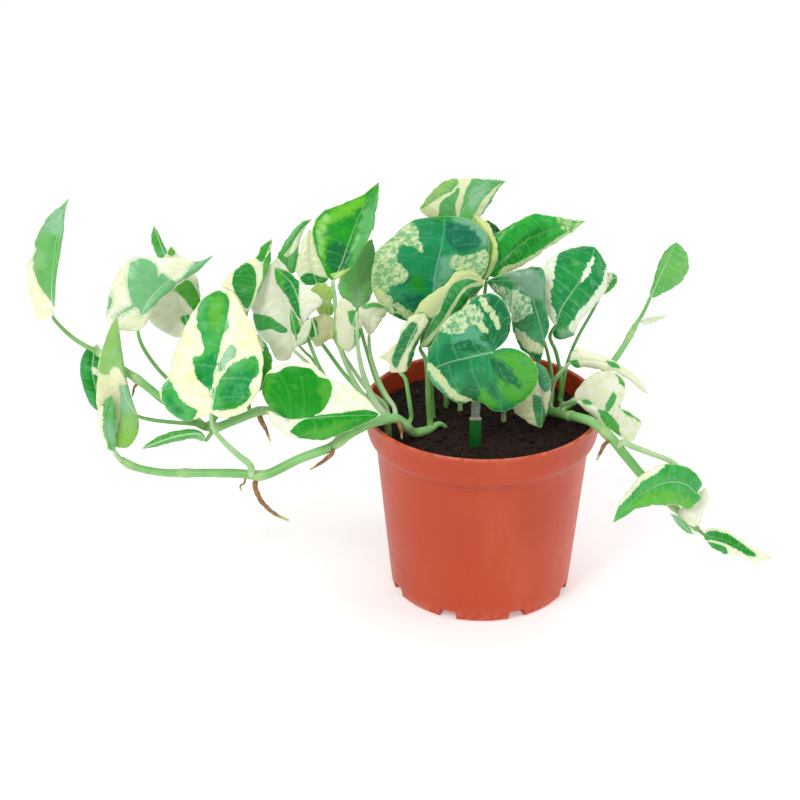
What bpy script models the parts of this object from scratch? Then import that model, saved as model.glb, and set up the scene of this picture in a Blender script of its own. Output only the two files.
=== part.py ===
"""Potted variegated pothos in a round nursery pot.

The object stands on the world origin: the pot's axis is +Z, z = 0 is the
surface it stands on, and the plant's front faces -Y.  Units are metres.

The pot, its soil and the plant pick are turned or extruded about the pot's
axis.  The plant is set out on an inclined layout sheet.  A position on the
sheet is (u, v, y): u runs right and v runs down in sheet units of about half
a millimetre, and y is the depth in millimetres, positive towards the back.
at() turns such a position into world coordinates.  Every leaf is a blade
lofted from its midrib to its two margins, with its own petiole grown on.
"""

import bmesh
import bpy
from math import cos, pi, radians, sin, sqrt
from mathutils import Vector

for _ob in list(bpy.data.objects):
    bpy.data.objects.remove(_ob, do_unlink=True)

# ---------------------------------------------------------------- dimensions
MM = 0.001
GAP = 0.3 * MM              # clearance between neighbouring pieces

# pot
POT_H = 100.5               # height, mm
RIM_R = 60.0                # outer radius of the rim's top edge
RIM_LOW_R = 58.6            # outer radius of the rim band's lower edge
RIM_H = 18.2                # height of the rim band
BODY_TOP_R = 54.0           # body radius just under the band
BODY_LOW_R = 45.8           # body radius at the foot
WALL = 1.6
FLOOR_Z = 4.6               # underside of the raised channels to the floor's top is WALL
CHANNEL_H = 4.4             # height of the edge notches
CHANNEL_W = 9.0
N_NOTCH = 8
SEG = 40                    # facets round the pot

# soil
SOIL_Z = 89.0               # height of the soil at the wall
SOIL_DOME = 2.0             # rise towards the middle

# layout sheet: tilt, viewing distance and scale of the inclined sheet
TILT = radians(27.17)
REACH = 1200.0
SCALE = 2390.0
MID_U = MID_V = 400.0
SHEET_X = -41.56
SHEET_Z = 102.25

BLADE_T = 0.62              # blade thickness, mm
PETIOLE_SIDES = 5
VINE_SIDES = 6


# ------------------------------------------------------------------ helpers
def at(u, v, y):
    """World position (metres) of the sheet position (u, v) at depth y."""
    c, s = cos(TILT), sin(TILT)
    du, dv = (u - MID_U) / SCALE, (MID_V - v) / SCALE
    ry = dv * s + c
    rz = dv * c - s
    t = (y + REACH * c) / ry
    return Vector(((SHEET_X + t * du) * MM, y * MM, (SHEET_Z + REACH * s + t * rz) * MM))


def catmull(pts, n):
    """n + 1 points, evenly spaced, on a Catmull-Rom curve through pts."""
    p = [Vector(q) for q in pts]
    if len(p) == 2:
        return [p[0].lerp(p[1], i / n) for i in range(n + 1)]
    ext = [p[0] * 2 - p[1]] + p + [p[-1] * 2 - p[-2]]
    fine = []
    for i in range(1, len(ext) - 2):
        p0, p1, p2, p3 = ext[i - 1:i + 3]
        d1 = max((p1 - p0).length, 1e-9) ** 0.5
        d2 = max((p2 - p1).length, 1e-9) ** 0.5
        d3 = max((p3 - p2).length, 1e-9) ** 0.5
        m1 = ((p1 - p0) / d1 - (p2 - p0) / (d1 + d2) + (p2 - p1) / d2) * d2
        m2 = ((p2 - p1) / d2 - (p3 - p1) / (d2 + d3) + (p3 - p2) / d3) * d2
        for k in range(12):
            t = k / 12
            fine.append(p1 * (2 * t**3 - 3 * t**2 + 1) + m1 * (t**3 - 2 * t**2 + t)
                        + p2 * (3 * t**2 - 2 * t**3) + m2 * (t**3 - t**2))
    fine.append(p[-1])
    run = [0.0]
    for a, b in zip(fine, fine[1:]):
        run.append(run[-1] + (b - a).length)
    out, j = [], 0
    for i in range(n + 1):
        want = run[-1] * i / n
        while j < len(run) - 2 and run[j + 1] < want:
            j += 1
        w = (want - run[j]) / max(run[j + 1] - run[j], 1e-12)
        out.append(fine[j].lerp(fine[j + 1], min(max(w, 0.0), 1.0)))
    return out


def material(name, rgb, rough, metal=0.0):
    m = bpy.data.materials.get(name)
    if m is None:
        m = bpy.data.materials.new(name)
        m.use_nodes = True
        b = m.node_tree.nodes["Principled BSDF"]
        b.inputs["Base Color"].default_value = (*rgb, 1.0)
        b.inputs["Roughness"].default_value = rough
        b.inputs["Metallic"].default_value = metal
        m.diffuse_color = (*rgb, 1.0)
    return m


def new_object(name, bm, mat, smooth=40.0):
    bmesh.ops.recalc_face_normals(bm, faces=bm.faces)
    me = bpy.data.meshes.new(name)
    bm.to_mesh(me)
    bm.free()
    me.materials.append(mat)
    ob = bpy.data.objects.new(name, me)
    bpy.context.scene.collection.objects.link(ob)
    me.shade_smooth()
    me.set_sharp_from_angle(angle=radians(smooth))
    return ob


def tube_mesh(path, radii, sides):
    """Closed tube along world points, one radius (mm) for each point."""
    bm = bmesh.new()
    rings = []
    side = None
    for i, p in enumerate(path):
        d = (path[min(i + 1, len(path) - 1)] - path[max(i - 1, 0)]).normalized()
        if side is None:
            side = d.cross(Vector((0.31, 0.87, 0.4)))
        side = (side - d * side.dot(d)).normalized()
        up = d.cross(side)
        rings.append([bm.verts.new(p + (side * cos(2 * pi * k / sides) + up * sin(2 * pi * k / sides)) * radii[i] * MM)
                      for k in range(sides)])
    for a, b in zip(rings, rings[1:]):
        for k in range(sides):
            bm.faces.new((a[k], a[(k + 1) % sides], b[(k + 1) % sides], b[k]))
    bm.faces.new(rings[0][::-1])
    bm.faces.new(rings[-1])
    bmesh.ops.recalc_face_normals(bm, faces=bm.faces)
    return bm


def radii_along(n, radii):
    """n + 1 radii read off a short list of radii spread evenly along a tube."""
    out = []
    for i in range(n + 1):
        f = i / n * (len(radii) - 1)
        j = min(int(f), len(radii) - 2)
        out.append(radii[j] + (radii[j + 1] - radii[j]) * (f - j))
    return out


def stem(name, pts, radii, mat, n=None, sides=VINE_SIDES):
    """A vine, stem or root: a closed tube through sheet positions."""
    n = n or 3 * len(pts)
    path = catmull([at(*p) for p in pts], n)
    return new_object(name, tube_mesh(path, radii_along(n, radii), sides), mat, 60)


def nearest_on(poly, u, v):
    """Depth at, and distance from, the nearest point of a midrib on the sheet."""
    best = None
    total = sum(sqrt((b[0] - a[0])**2 + (b[1] - a[1])**2) for a, b in zip(poly, poly[1:]))
    run = 0.0
    for a, b in zip(poly, poly[1:]):
        dx, dy = b[0] - a[0], b[1] - a[1]
        q = dx * dx + dy * dy
        t = 0.0 if q == 0 else max(0.0, min(1.0, ((u - a[0]) * dx + (v - a[1]) * dy) / q))
        x, z = a[0] + dx * t, a[1] + dy * t
        d = sqrt((u - x)**2 + (v - z)**2)
        if best is None or d < best[1]:
            best = (a[2] + (b[2] - a[2]) * t, d, (run + sqrt(q) * t) / total)
        run += sqrt(q)
    return best


def blade_grids(mid, left, right, slope, dome, cols, rows):
    """Sheet positions of the two halves of a blade.  Each half has a column for
    each vein, from the midrib (row 0) out to the margin (last row), and both
    halves leave the midrib at the same feet."""
    base, tip = mid[0], mid[-1]
    line = catmull(mid, 24)
    length = sum((b - a).length for a, b in zip(line, line[1:]))
    edges, feet = [], []
    for margin in (left, right):
        flat = [(base[0], base[1], 0.0)] + [(m[0], m[1], 0.0) for m in margin] + [(tip[0], tip[1], 0.0)]
        edge = catmull(flat, cols)
        edges.append(edge)
        far, own = 0.0, []
        for e in edge:
            y0, d, s = nearest_on(line, e.x, e.y)
            far = max(far, s - 0.35 * d / length, 0.0)
            own.append(far)
        feet.append(own)
    foot = [min((a + b) / 2, 1 - 0.03 * (cols - i)) for i, (a, b) in enumerate(zip(*feet))]
    foot[0], foot[-1] = 0.0, 1.0
    grids = []
    for edge, sl in zip(edges, slope):
        widest = max(nearest_on(line, e.x, e.y)[1] for e in edge)
        grid = []
        for i, e in enumerate(edge):
            f = foot[i] * 24
            j = min(int(f), 23)
            root = line[j].lerp(line[j + 1], f - j)
            y0, d, s = nearest_on(line, e.x, e.y)
            rim = Vector((e.x, e.y, y0 + sl * d * 0.5))
            if i == 0 or i == cols:
                rim = root.copy()
            col = []
            for k in range(rows + 1):
                w = k / rows
                q = root.lerp(rim, w)
                q.z -= dome * 4 * w * (1 - w) * min(1.0, d / max(widest, 1e-6))
                col.append(q)
            grid.append(col)
        grids.append(grid)
    return grids


def leaf(name, mat, mid, left, right, slope=(0.0, 0.0), dome=1.2, petiole=None,
         pr=(0.9, 1.0, 1.2), cols=8, rows=2, thick=BLADE_T):
    """A leaf: blade from base to tip with a petiole grown on at the base.

    mid     midrib, sheet positions from the base to the tip
    left    left margin between base and tip, sheet (u, v)
    right   right margin between base and tip, sheet (u, v)
    slope   depth gained per unit of distance from the midrib, left and right
    dome    how far each half stands proud between midrib and margin, mm
    petiole sheet positions from the base down to where it leaves the vine
    """
    bm = bmesh.new()
    for grid in blade_grids(mid, left, right, slope, dome, cols, rows):
        vs = [[bm.verts.new(at(*q)) for q in col] for col in grid]
        for i in range(cols):
            for k in range(rows):
                bm.faces.new((vs[i][k], vs[i + 1][k], vs[i + 1][k + 1], vs[i][k + 1]))
    bmesh.ops.remove_doubles(bm, verts=bm.verts, dist=0.02 * MM)
    bmesh.ops.dissolve_degenerate(bm, edges=bm.edges, dist=0.01 * MM)
    bmesh.ops.recalc_face_normals(bm, faces=bm.faces)
    bmesh.ops.triangulate(bm, faces=bm.faces)
    # thicken the sheet into a closed blade
    bm.normal_update()
    verts = list(bm.verts)
    faces = [list(f.verts) for f in bm.faces]
    border = [(e.link_loops[0].vert, e.link_loops[0].link_loop_next.vert) for e in bm.edges if len(e.link_faces) == 1]
    solid = bmesh.new()
    top = {v: solid.verts.new(v.co + v.normal * thick * 0.5 * MM) for v in verts}
    bot = {v: solid.verts.new(v.co - v.normal * thick * 0.5 * MM) for v in verts}
    for f in faces:
        solid.faces.new([top[v] for v in f])
        solid.faces.new([bot[v] for v in reversed(f)])
    for a, b in border:
        solid.faces.new((top[b], top[a], bot[a], bot[b]))
    bm.free()
    ob = new_object(name, solid, mat, 50)
    if petiole:
        # the petiole runs on under the midrib for the first part of the blade
        line = catmull(mid, 24)
        behind = Vector((0.0, 0.0, 0.33))
        pts = [line[6] + behind, line[3] + behind, line[0] + behind] + [Vector(q) for q in petiole[1:]]
        n = len(pts) + 1
        path = catmull([at(*q) for q in pts], n)
        tb = new_object(name + "_petiole_tool", tube_mesh(path, radii_along(n, [0.45, *pr]), PETIOLE_SIDES), mat)
        tb.hide_render = True
        tb.display_type = "WIRE"
        mod = ob.modifiers.new("grown_on", "BOOLEAN")
        mod.operation = "UNION"
        mod.solver = "EXACT"
        mod.object = tb
    return ob


# ---------------------------------------------------------------- materials
TERRACOTTA = material("terracotta_plastic", (0.56, 0.098, 0.045), 0.45)
SOIL = material("peat_soil", (0.018, 0.009, 0.007), 0.95)
GREEN = material("leaf_variegated", (0.06, 0.32, 0.06), 0.35)
CREAM = material("leaf_cream", (0.78, 0.82, 0.55), 0.38)
STEM = material("stem_green", (0.18, 0.46, 0.17), 0.4)
ROOT = material("aerial_root", (0.26, 0.17, 0.08), 0.7)
PICK = material("pick_green", (0.0, 0.1, 0.01), 0.4)
CLEAR = material("pick_clear", (0.5, 0.56, 0.52), 0.3)

# ---------------------------------------------------------------------- pot
def body_r(z):
    """Outer radius of the pot's body at height z (mm)."""
    return BODY_LOW_R + (BODY_TOP_R - BODY_LOW_R) * z / (POT_H - RIM_H)


def turned(name, profile, mat, seg=SEG, smooth=35.0):
    """Solid of revolution about +Z from a closed (radius, height) profile in mm."""
    bm = bmesh.new()
    rings = []
    for r, z in profile:
        if r < 1e-6:
            rings.append([bm.verts.new((0, 0, z * MM))])
        else:
            rings.append([bm.verts.new((r * MM * cos(2 * pi * k / seg), r * MM * sin(2 * pi * k / seg), z * MM))
                          for k in range(seg)])
    pairs = list(zip(rings, rings[1:]))
    if len(rings[0]) > 1 or len(rings[-1]) > 1:
        pairs.append((rings[-1], rings[0]))
    for a, b in pairs:
        for k in range(seg):
            q = [a[k % len(a)], a[(k + 1) % len(a)], b[(k + 1) % len(b)], b[k % len(b)]]
            q = list(dict.fromkeys(q))
            if len(q) > 2:
                bm.faces.new(q)
    return new_object(name, bm, mat, smooth)


LEDGE = POT_H - RIM_H + WALL
ledge_r = body_r(POT_H - RIM_H) - WALL
pot = turned("pot", [
    (0, 0), (BODY_LOW_R - 0.8, 0), (body_r(0.8), 0.8), (body_r(POT_H - RIM_H), POT_H - RIM_H),
    (55.3, POT_H - RIM_H + 0.5), (56.9, POT_H - RIM_H + 2.0), (58.2, POT_H - RIM_H + 5.2),
    (RIM_LOW_R + 0.3, POT_H - 9.5), (RIM_R - 0.4, POT_H - 3.0), (RIM_R, POT_H - 1.2), (RIM_R - 0.4, POT_H - 0.2),
    (RIM_R - 1.2, POT_H), (RIM_R - 2.0, POT_H - 0.6), (57.0, LEDGE + 3.2), (55.4, LEDGE + 0.6), (ledge_r, LEDGE),
    (body_r(WALL) - WALL, WALL), (0, WALL),
], TERRACOTTA)


def box_bm(bm, x0, x1, y0, y1, z0, z1, turn):
    """Add a box (mm) turned about +Z."""
    c, s = cos(turn), sin(turn)
    v = [bm.verts.new(((x * c - y * s) * MM, (x * s + y * c) * MM, z * MM))
         for z in (z0, z1) for x, y in ((x0, y0), (x1, y0), (x1, y1), (x0, y1))]
    for f in ((3, 2, 1, 0), (4, 5, 6, 7), (0, 1, 5, 4), (1, 2, 6, 5), (2, 3, 7, 6), (3, 0, 4, 7)):
        bm.faces.new([v[i] for i in f])


# raised roofs of the drainage channels, inside the pot
for i in range(N_NOTCH):
    turn = radians(-90 + 22.5 + i * 360 / N_NOTCH)
    rb = bmesh.new()
    box_bm(rb, 20.0, body_r(3) - 0.6, -(CHANNEL_W / 2 + WALL), CHANNEL_W / 2 + WALL, 0.5, CHANNEL_H + WALL, turn)
    roof = new_object(f"channel_roof_tool_{i}", rb, TERRACOTTA)
    cb = bmesh.new()
    box_bm(cb, 20.0 + WALL, BODY_LOW_R + 6, -CHANNEL_W / 2, CHANNEL_W / 2, -2.0, CHANNEL_H, turn)
    cut = new_object(f"channel_tool_{i}", cb, TERRACOTTA)
    for ob, op in ((roof, "UNION"), (cut, "DIFFERENCE")):
        ob.hide_render = True
        ob.display_type = "WIRE"
        m = pot.modifiers.new(f"{op.lower()}_{i}", "BOOLEAN")
        m.operation, m.solver, m.object = op, "EXACT", ob
# drain holes through the channel roofs
hb = bmesh.new()
for i in range(N_NOTCH):
    a = radians(-90 + 22.5 + i * 360 / N_NOTCH)
    r = bmesh.ops.create_cone(hb, cap_ends=True, segments=8, radius1=2.6 * MM, radius2=2.6 * MM, depth=8 * MM)
    bmesh.ops.translate(hb, verts=r["verts"], vec=(34 * MM * cos(a), 34 * MM * sin(a), (CHANNEL_H + 1) * MM))
holes = new_object("drain_hole_tool", hb, TERRACOTTA)
holes.hide_render = True
holes.display_type = "WIRE"
m = pot.modifiers.new("drain_holes", "BOOLEAN")
m.operation, m.solver, m.object = "DIFFERENCE", "EXACT", holes

# --------------------------------------------------------------------- soil
g = GAP / MM
soil_low = CHANNEL_H + WALL + g
soil = turned("soil", [
    (0, soil_low), (body_r(soil_low) - WALL - g, soil_low), (body_r(LEDGE - 1) - WALL - 2 * g, LEDGE - 1),
    (ledge_r - 2 * g, LEDGE + g), (55.3 - g, LEDGE + 1.2), (56.3 - g, LEDGE + 3.0), (56.6 - g, SOIL_Z), (40, SOIL_Z + SOIL_DOME * 0.6),
    (0, SOIL_Z + SOIL_DOME),
], SOIL, seg=32)


def soil_top(x, y):
    """Height of the soil's surface (mm) at x, y (mm)."""
    r = min(sqrt(x * x + y * y), 56.3)
    if r > 40:
        return SOIL_Z + SOIL_DOME * 0.6 * (56.3 - r) / 16.3
    return SOIL_Z + SOIL_DOME * (1 - 0.4 * r / 40)


# --------------------------------------------------------------------- pick
PICK_AT = at(475, 446, -27.7)
px, py = PICK_AT.x / MM, PICK_AT.y / MM
pz = soil_top(px, py)


def pick_blade(name, half, thick, outline_low, z0, z1, mat, dy=0.0):
    """A flat stake standing up: a rectangle (mm) with a pointed or square foot."""
    bm = bmesh.new()
    foot = z0 + outline_low
    pts = [(-half, foot), (0, z0), (half, foot), (half, z1), (-half, z1)] if outline_low else \
          [(-half, z0), (half, z0), (half, z1), (-half, z1)]
    front = [bm.verts.new(((px + x) * MM, (py + dy - thick / 2) * MM, z * MM)) for x, z in pts]
    back = [bm.verts.new(((px + x) * MM, (py + dy + thick / 2) * MM, z * MM)) for x, z in pts]
    bm.faces.new(front)
    bm.faces.new(back[::-1])
    for i in range(len(pts)):
        j = (i + 1) % len(pts)
        bm.faces.new((front[j], front[i], back[i], back[j]))
    return new_object(name, bm, mat, 30)


pick_stake = pick_blade("plant_pick", 2.9, 1.3, 3.0, pz - 24, pz + 16.5, PICK)
pick_label = pick_blade("plant_pick_tag", 2.1, 0.7, 0.0, pz + 16.5 + g, pz + 28, CLEAR)
slot = bmesh.new()
box_bm(slot, px - 2.9 - g, px + 2.9 + g, py - 0.65 - g, py + 0.65 + g, pz - 24.4, pz + 9, 0)
slot_tool = new_object("pick_slot_tool", slot, SOIL)
slot_tool.hide_render = True
slot_tool.display_type = "WIRE"
m = soil.modifiers.new("pick_slot", "BOOLEAN")
m.operation, m.solver, m.object = "DIFFERENCE", "EXACT", slot_tool

# -------------------------------------------------------------------- vines
stem("vine_left_lower", [
    (440, 424, -9), (428, 430, -15), (414, 432.5, -20), (405, 425, -24), (396, 418.5, -26), (384, 420, -28.5),
    (374, 422, -30.5), (364, 426, -33), (348, 435, -37), (331, 447, -39), (315, 453, -41), (299, 459, -42),
    (283, 467, -44), (268, 474, -45), (259, 475.5, -45), (240, 473.5, -44), (213, 473, -41), (186, 473, -38),
    (163, 472.5, -34), (142, 469, -30), (130, 465, -28), (122, 460, -26.5)],
    (2.3, 2.4, 2.4, 2.3, 2.3, 2.2, 2.0, 1.8), STEM, n=40)
stem("vine_left_branch", [
    (338, 434, -31), (326, 428, -29), (310, 420, -27.5), (290, 415, -28), (270, 410.5, -30), (258, 411.5, -32),
    (240, 418.5, -34), (226, 424, -35.5), (216, 427.5, -36)], (2.0, 2.0, 2.1, 2.1), STEM, n=18)
stem("vine_left_upper", [
    (205, 426.5, -33.5), (196, 421, -32), (185, 413, -30.5), (174, 406, -28.5), (162, 399, -26.5), (150, 389, -24.5), (137, 379, -22),
    (125, 371, -19.5), (112, 361, -17), (99, 352.5, -14.5)], (2.1, 2.1, 2.0, 1.8), STEM, n=20)
stem("vine_right", [
    (547, 408.5, 6), (553, 411.5, 0.5), (562, 414, -5), (571, 416, -13), (580, 418, -22.8), (590, 421, -27), (599, 427, -30.5),
    (607, 434, -33), (614, 441, -35.5), (621, 450, -38), (630, 461, -41), (640, 473, -44), (655, 489, -47.5),
    (672, 505, -51), (686, 518, -54), (697, 529, -56)], (2.2, 2.4, 2.4, 2.3, 2.0, 1.6), STEM, n=34)
stem("vine_right_upper", [
    (566, 407, 4), (576, 400, 5), (590, 389, 7.5), (604, 373, 11), (618, 355, 15), (627, 341, 18), (635, 326, 22)],
    (1.7, 1.7, 1.6, 1.5), STEM, n=14)

# ------------------------------------------------------------- aerial roots
stem("root_left_node", [(255, 484, -45), (257, 493, -45.5), (262, 502, -46), (268, 509, -47), (278, 516, -48), (288, 520.5, -49)],
     (1.3, 1.3, 1.1, 0.9, 0.5), ROOT, n=10, sides=6)
stem("root_left_hook", [(244, 483.5, -44), (240.5, 485, -44.5), (240, 488, -45), (242, 491, -45)], (0.5, 0.5, 0.3), ROOT, n=5, sides=5)
stem("root_left_mid", [(333, 452.5, -41.5), (326, 459, -42.5), (318, 465, -43), (310, 470, -43.5)], (1.1, 1.0, 0.5), ROOT, n=6, sides=6)
stem("root_left_branch", [(260, 417.5, -33), (263, 424, -34), (267, 432, -35), (270, 441, -36)], (1.3, 1.1, 0.4), ROOT, n=6, sides=6)
stem("root_left_upper", [(136, 385.5, -22), (134, 389, -22), (132.5, 396, -22.5)], (0.8, 0.7, 0.4), ROOT, n=4, sides=5)
stem("root_right", [(608, 441.5, -36), (603, 447, -38), (600, 454, -39), (597, 460, -40)], (1.0, 1.1, 0.5), ROOT, n=6, sides=6)
stem("root_crown", [(399, 424, -28.5), (401, 430, -30), (402, 438, -31)], (1.0, 1.1, 0.4), ROOT, n=5, sides=6)

# ------------------------------------------------------------------- leaves
# left group, along the three left-hand vines
leaf("leaf_left_tip", GREEN, [(53, 317, -4), (52, 292, -2), (54, 262, 3), (58, 232, 8), (69, 198, 15)],
     [(46, 319), (37, 319), (32, 305), (28, 282), (27, 267), (33, 254), (36, 240), (43, 224), (52, 213), (62, 205)],
     [(55, 300), (56, 280), (59, 261), (62, 243), (64, 228), (65, 213)],
     slope=(0.5, -0.3), petiole=[(53, 317, -4), (60, 326, -6), (72, 337, -9), (84, 345, -11.5), (93, 349.5, -13.3)], pr=(0.9, 1.1, 1.3))
leaf("leaf_left_under", GREEN, [(94, 351, -7), (92, 370, -8), (96, 390, -10), (100, 413, -13)],
     [(88, 348), (82, 357), (80, 370), (84, 390), (91, 405)], [(101, 349), (107, 358), (109, 375), (106, 395)],
     slope=(0.1, 0.3), petiole=[(94, 351, -7), (95, 348, -8), (97, 346, -9)], pr=(0.8, 0.9, 0.9), cols=6)
leaf("leaf_left_hanging", CREAM, [(138, 416, -31), (127, 400, -30), (121, 375, -28), (119, 345, -26), (117, 316, -25)],
     [(139, 425), (137, 436), (129, 446), (116, 447), (104, 432), (97, 410), (97, 388), (99, 361), (108, 332)],
     [(134, 405), (130, 392), (125, 370), (121, 343)],
     slope=(0.15, 0.5), petiole=[(138, 416, -31), (150, 419.5, -31.5), (170, 422, -33), (190, 423.5, -35.5), (203, 425, -37)], pr=(0.9, 1.0, 1.2))
leaf("leaf_left_vine_end", GREEN, [(115, 452, -30), (109, 438, -32), (107, 420, -33.5), (112, 394, -34)],
     [(108, 449), (101, 438), (98, 424), (100, 408)], [(116, 440), (116, 422), (115, 405)],
     slope=(0.3, -0.3), petiole=[(115, 452, -30), (117, 455.5, -28.5), (120, 459, -27.5)], pr=(1.2, 1.4, 1.5), cols=6)
leaf("leaf_left_drooping", CREAM, [(138, 331, -15), (145, 308, -11), (160, 288, -5), (185, 270, 2), (214, 255, 7)],
     [(127, 331), (114, 328), (107, 318), (108, 300), (114, 281), (121, 268), (130, 260), (141, 257), (158, 258), (178, 258), (190, 258), (198, 263)],
     [(146, 324), (153, 309), (160, 299), (168, 293), (184, 281), (198, 271)],
     slope=(0.25, -0.1), petiole=[(138, 331, -15), (141, 343, -17), (149, 357, -19), (159, 370, -21), (172, 383, -23), (187, 397, -25), (196, 408, -27)])
leaf("leaf_left_round", CREAM, [(192, 338, 6), (186, 318, 11), (176, 290, 15), (171, 246, 20)],
     [(180, 338), (165, 333), (155, 326), (147, 316), (145, 300), (150, 280), (160, 264)],
     [(198, 327), (200, 308), (199, 285), (192, 270), (181, 258)],
     petiole=[(192, 338, 6), (195, 352, 2), (199, 370, -6), (204, 390, -15), (210, 408, -24), (215, 418, -29)])
leaf("leaf_left_small", GREEN, [(166, 258, 24), (161, 245, 26), (154, 225, 29)],
     [(158, 257), (154, 249), (151, 238)], [(167, 252), (163, 243), (158, 232)],
     petiole=[(166, 258, 24), (174, 275, 22), (183, 300, 19), (190, 325, 15), (196, 345, 9), (203, 370, 0), (212, 395, -12), (221, 413, -24)],
     pr=(0.6, 0.7, 0.8), cols=5, rows=1, dome=0.0)
leaf("leaf_left_front", CREAM, [(211, 413, -44), (216, 385, -39), (223, 342, -28), (232, 291, -14)],
     [(203, 416), (189, 421), (178, 418), (168, 411), (161, 398), (161, 388), (168, 376), (173, 360), (177, 346), (184, 330), (191, 316), (199, 303), (210, 294), (221, 290)],
     [(221, 418), (231, 417), (241, 412), (250, 404), (258, 392), (262, 377), (263, 361), (260, 345), (256, 333), (248, 318), (240, 304)],
     slope=(-0.1, -0.1), petiole=[(211, 413, -44), (211.5, 421, -44.5), (214, 430, -45), (225, 443, -46.5), (238, 455, -47.5), (250, 465, -48.5)],
     pr=(1.0, 1.3, 1.6, 1.7), cols=10)
leaf("leaf_left_behind_front", GREEN, [(250, 394, -20), (256, 370, -16), (258, 334, -9)],
     [(244, 385), (243, 365), (248, 345)], [(260, 391), (268, 382), (272, 361), (267, 346)],
     petiole=[(250, 394, -20), (249, 402, -24), (249, 407, -27)], cols=6, rows=1, dome=0.0)
leaf("leaf_left_young", GREEN, [(206, 440.5, -40), (200, 434.5, -41), (184, 435, -41.5), (162, 441, -42), (141, 449, -43)],
     [(203, 433.5), (195, 429.5), (181, 430), (167, 433), (153, 439.5)], [(201, 441), (193, 438.5), (182, 440.5), (168, 443.5), (155, 447)],
     slope=(1.2, 1.2), petiole=[(206, 440.5, -40), (208.5, 437, -39.5), (211, 433.5, -39)], pr=(0.9, 1.0, 1.0), cols=6, dome=0.4)
leaf("leaf_left_rear", CREAM, [(247, 312, -4), (254, 296, 0), (260, 275, 6), (265, 258, 11), (272, 239, 17)],
     [(242, 311), (235, 301), (228, 290), (222, 287), (227, 278), (235, 270), (246, 262), (256, 257), (262, 246)],
     [(252, 306), (258, 293), (265, 278), (270, 264), (271, 251)],
     slope=(-0.2, 0.8), petiole=[(247, 312, -4), (243, 325, -6), (238, 350, -10), (234, 375, -16), (231, 398, -23), (230, 411, -29)])
leaf("leaf_left_pale", CREAM, [(293, 349, -6), (288, 325, 0), (283, 300, 6), (277, 257, 14)],
     [(290, 358), (281, 361), (275, 358), (271, 347), (260, 336), (254, 322), (252, 306), (256, 289), (264, 273)],
     [(299, 345), (302, 328), (300, 305), (296, 288), (288, 270)],
     slope=(0.1, 0.1), petiole=[(293, 349, -6), (300, 356, -8), (312, 367, -10), (328, 382, -12), (346, 398, -14), (362, 409, -17), (374, 415, -20)])
leaf("leaf_left_narrow", GREEN, [(296, 337, -13), (293, 322, -12), (290, 307, -10)], [(292, 332), (290, 318)], [(300, 329), (296, 316)],
     petiole=[(296, 337, -13), (299, 345, -13.5), (306, 353, -14)], pr=(0.6, 0.7, 0.7), cols=4, rows=1, dome=0.0)
leaf("leaf_left_folded_tall", GREEN, [(288, 274, 22), (289, 255, 25), (297, 235, 29), (312, 219, 34)],
     [(280, 270), (277, 260), (282, 247), (292, 232), (302, 222)], [(295, 272), (298, 255), (301, 237), (307, 225)],
     petiole=[(288, 274, 22), (294, 290, 21), (304, 312, 18), (314, 332, 14), (328, 352, 7), (346, 376, -2), (366, 396, -9), (384, 405, -12)])
leaf("leaf_left_dark_fold", GREEN, [(304, 323, -12), (299, 302, -9), (292, 284, -6), (275, 267, -2)],
     [(297, 315), (291, 305), (286, 295), (280, 288), (275, 277)], [(310, 315), (316, 309), (323, 302), (311, 290), (298, 280), (287, 271)],
     slope=(0.2, 0.2), petiole=[(304, 323, -12), (307, 335, -13), (313, 352, -14.5), (321, 370, -16), (334, 388, -18), (350, 402, -20), (367, 411, -22)])
leaf("leaf_left_pale_narrow", CREAM, [(311, 318, -17), (304, 333, -18), (295, 347.5, -19)], [(305, 322), (299, 334)], [(311, 328), (305, 341)],
     petiole=[(311, 318, -17), (314, 325, -17.5), (316, 337, -18)], pr=(0.5, 0.6, 0.6), cols=4, rows=1, dome=0.0)
leaf("leaf_left_cream_low", CREAM, [(334, 331, -2), (324, 330, -3), (312, 341, -5)],
     [(333, 318), (322, 315), (311, 320), (308, 332)], [(334, 337), (326, 341), (317, 347)],
     petiole=[(334, 331, -2), (339, 340, -4), (343, 352, -6)], pr=(0.7, 0.8, 0.8), cols=6, rows=1, dome=0.0)
leaf("leaf_left_lower_front", GREEN, [(288, 420, -43), (310, 418, -45), (340, 416, -44), (381, 415, -40)],
     [(281, 414), (269, 406), (262, 392), (263, 381), (271, 370), (288, 363), (308, 363), (321, 371), (332, 380), (346, 386), (360, 393)],
     [(279, 419), (270, 410), (270, 420), (277, 428), (288, 435), (304, 439), (327, 439), (352, 429), (370, 421)],
     slope=(0.3, -0.15), petiole=[(288, 420, -43), (281, 417, -39), (274, 414.5, -35.5), (268, 412.5, -33.5)], pr=(1.0, 1.2, 1.2), cols=10)

# crown, over the pot
leaf("leaf_crown_upright", GREEN, [(333, 281, 2), (339, 270, 5), (345, 254, 10), (352, 234, 16), (362, 210, 24), (379, 182, 33)],
     [(327, 276), (322, 264), (316, 250), (313, 232), (316, 219), (325, 211), (340, 204.5), (352, 200), (363, 194.5)],
     [(340, 277), (350, 269), (358, 257), (367, 241), (373, 229), (376, 211), (378.5, 196)],
     slope=(0.1, -0.25), petiole=[(333, 281, 2), (335, 300, -1), (336, 320, -4), (338, 340, -7), (345, 362, -10), (357, 386, -14), (372, 404, -17), (384, 411.5, -20)],
     pr=(1.0, 1.1, 1.3), cols=10)
leaf("leaf_crown_back_lobe", GREEN, [(330, 303, 6), (321, 298, 6), (310, 290, 7)], [(334, 292), (326, 284), (317, 283.5)],
     [(333, 313), (325, 316), (317, 312), (317, 302)],
     petiole=[(330, 303, 6), (335, 312, 5), (338, 325, 3)], pr=(0.7, 0.8, 0.8), cols=5, rows=1, dome=0.0)
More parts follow.
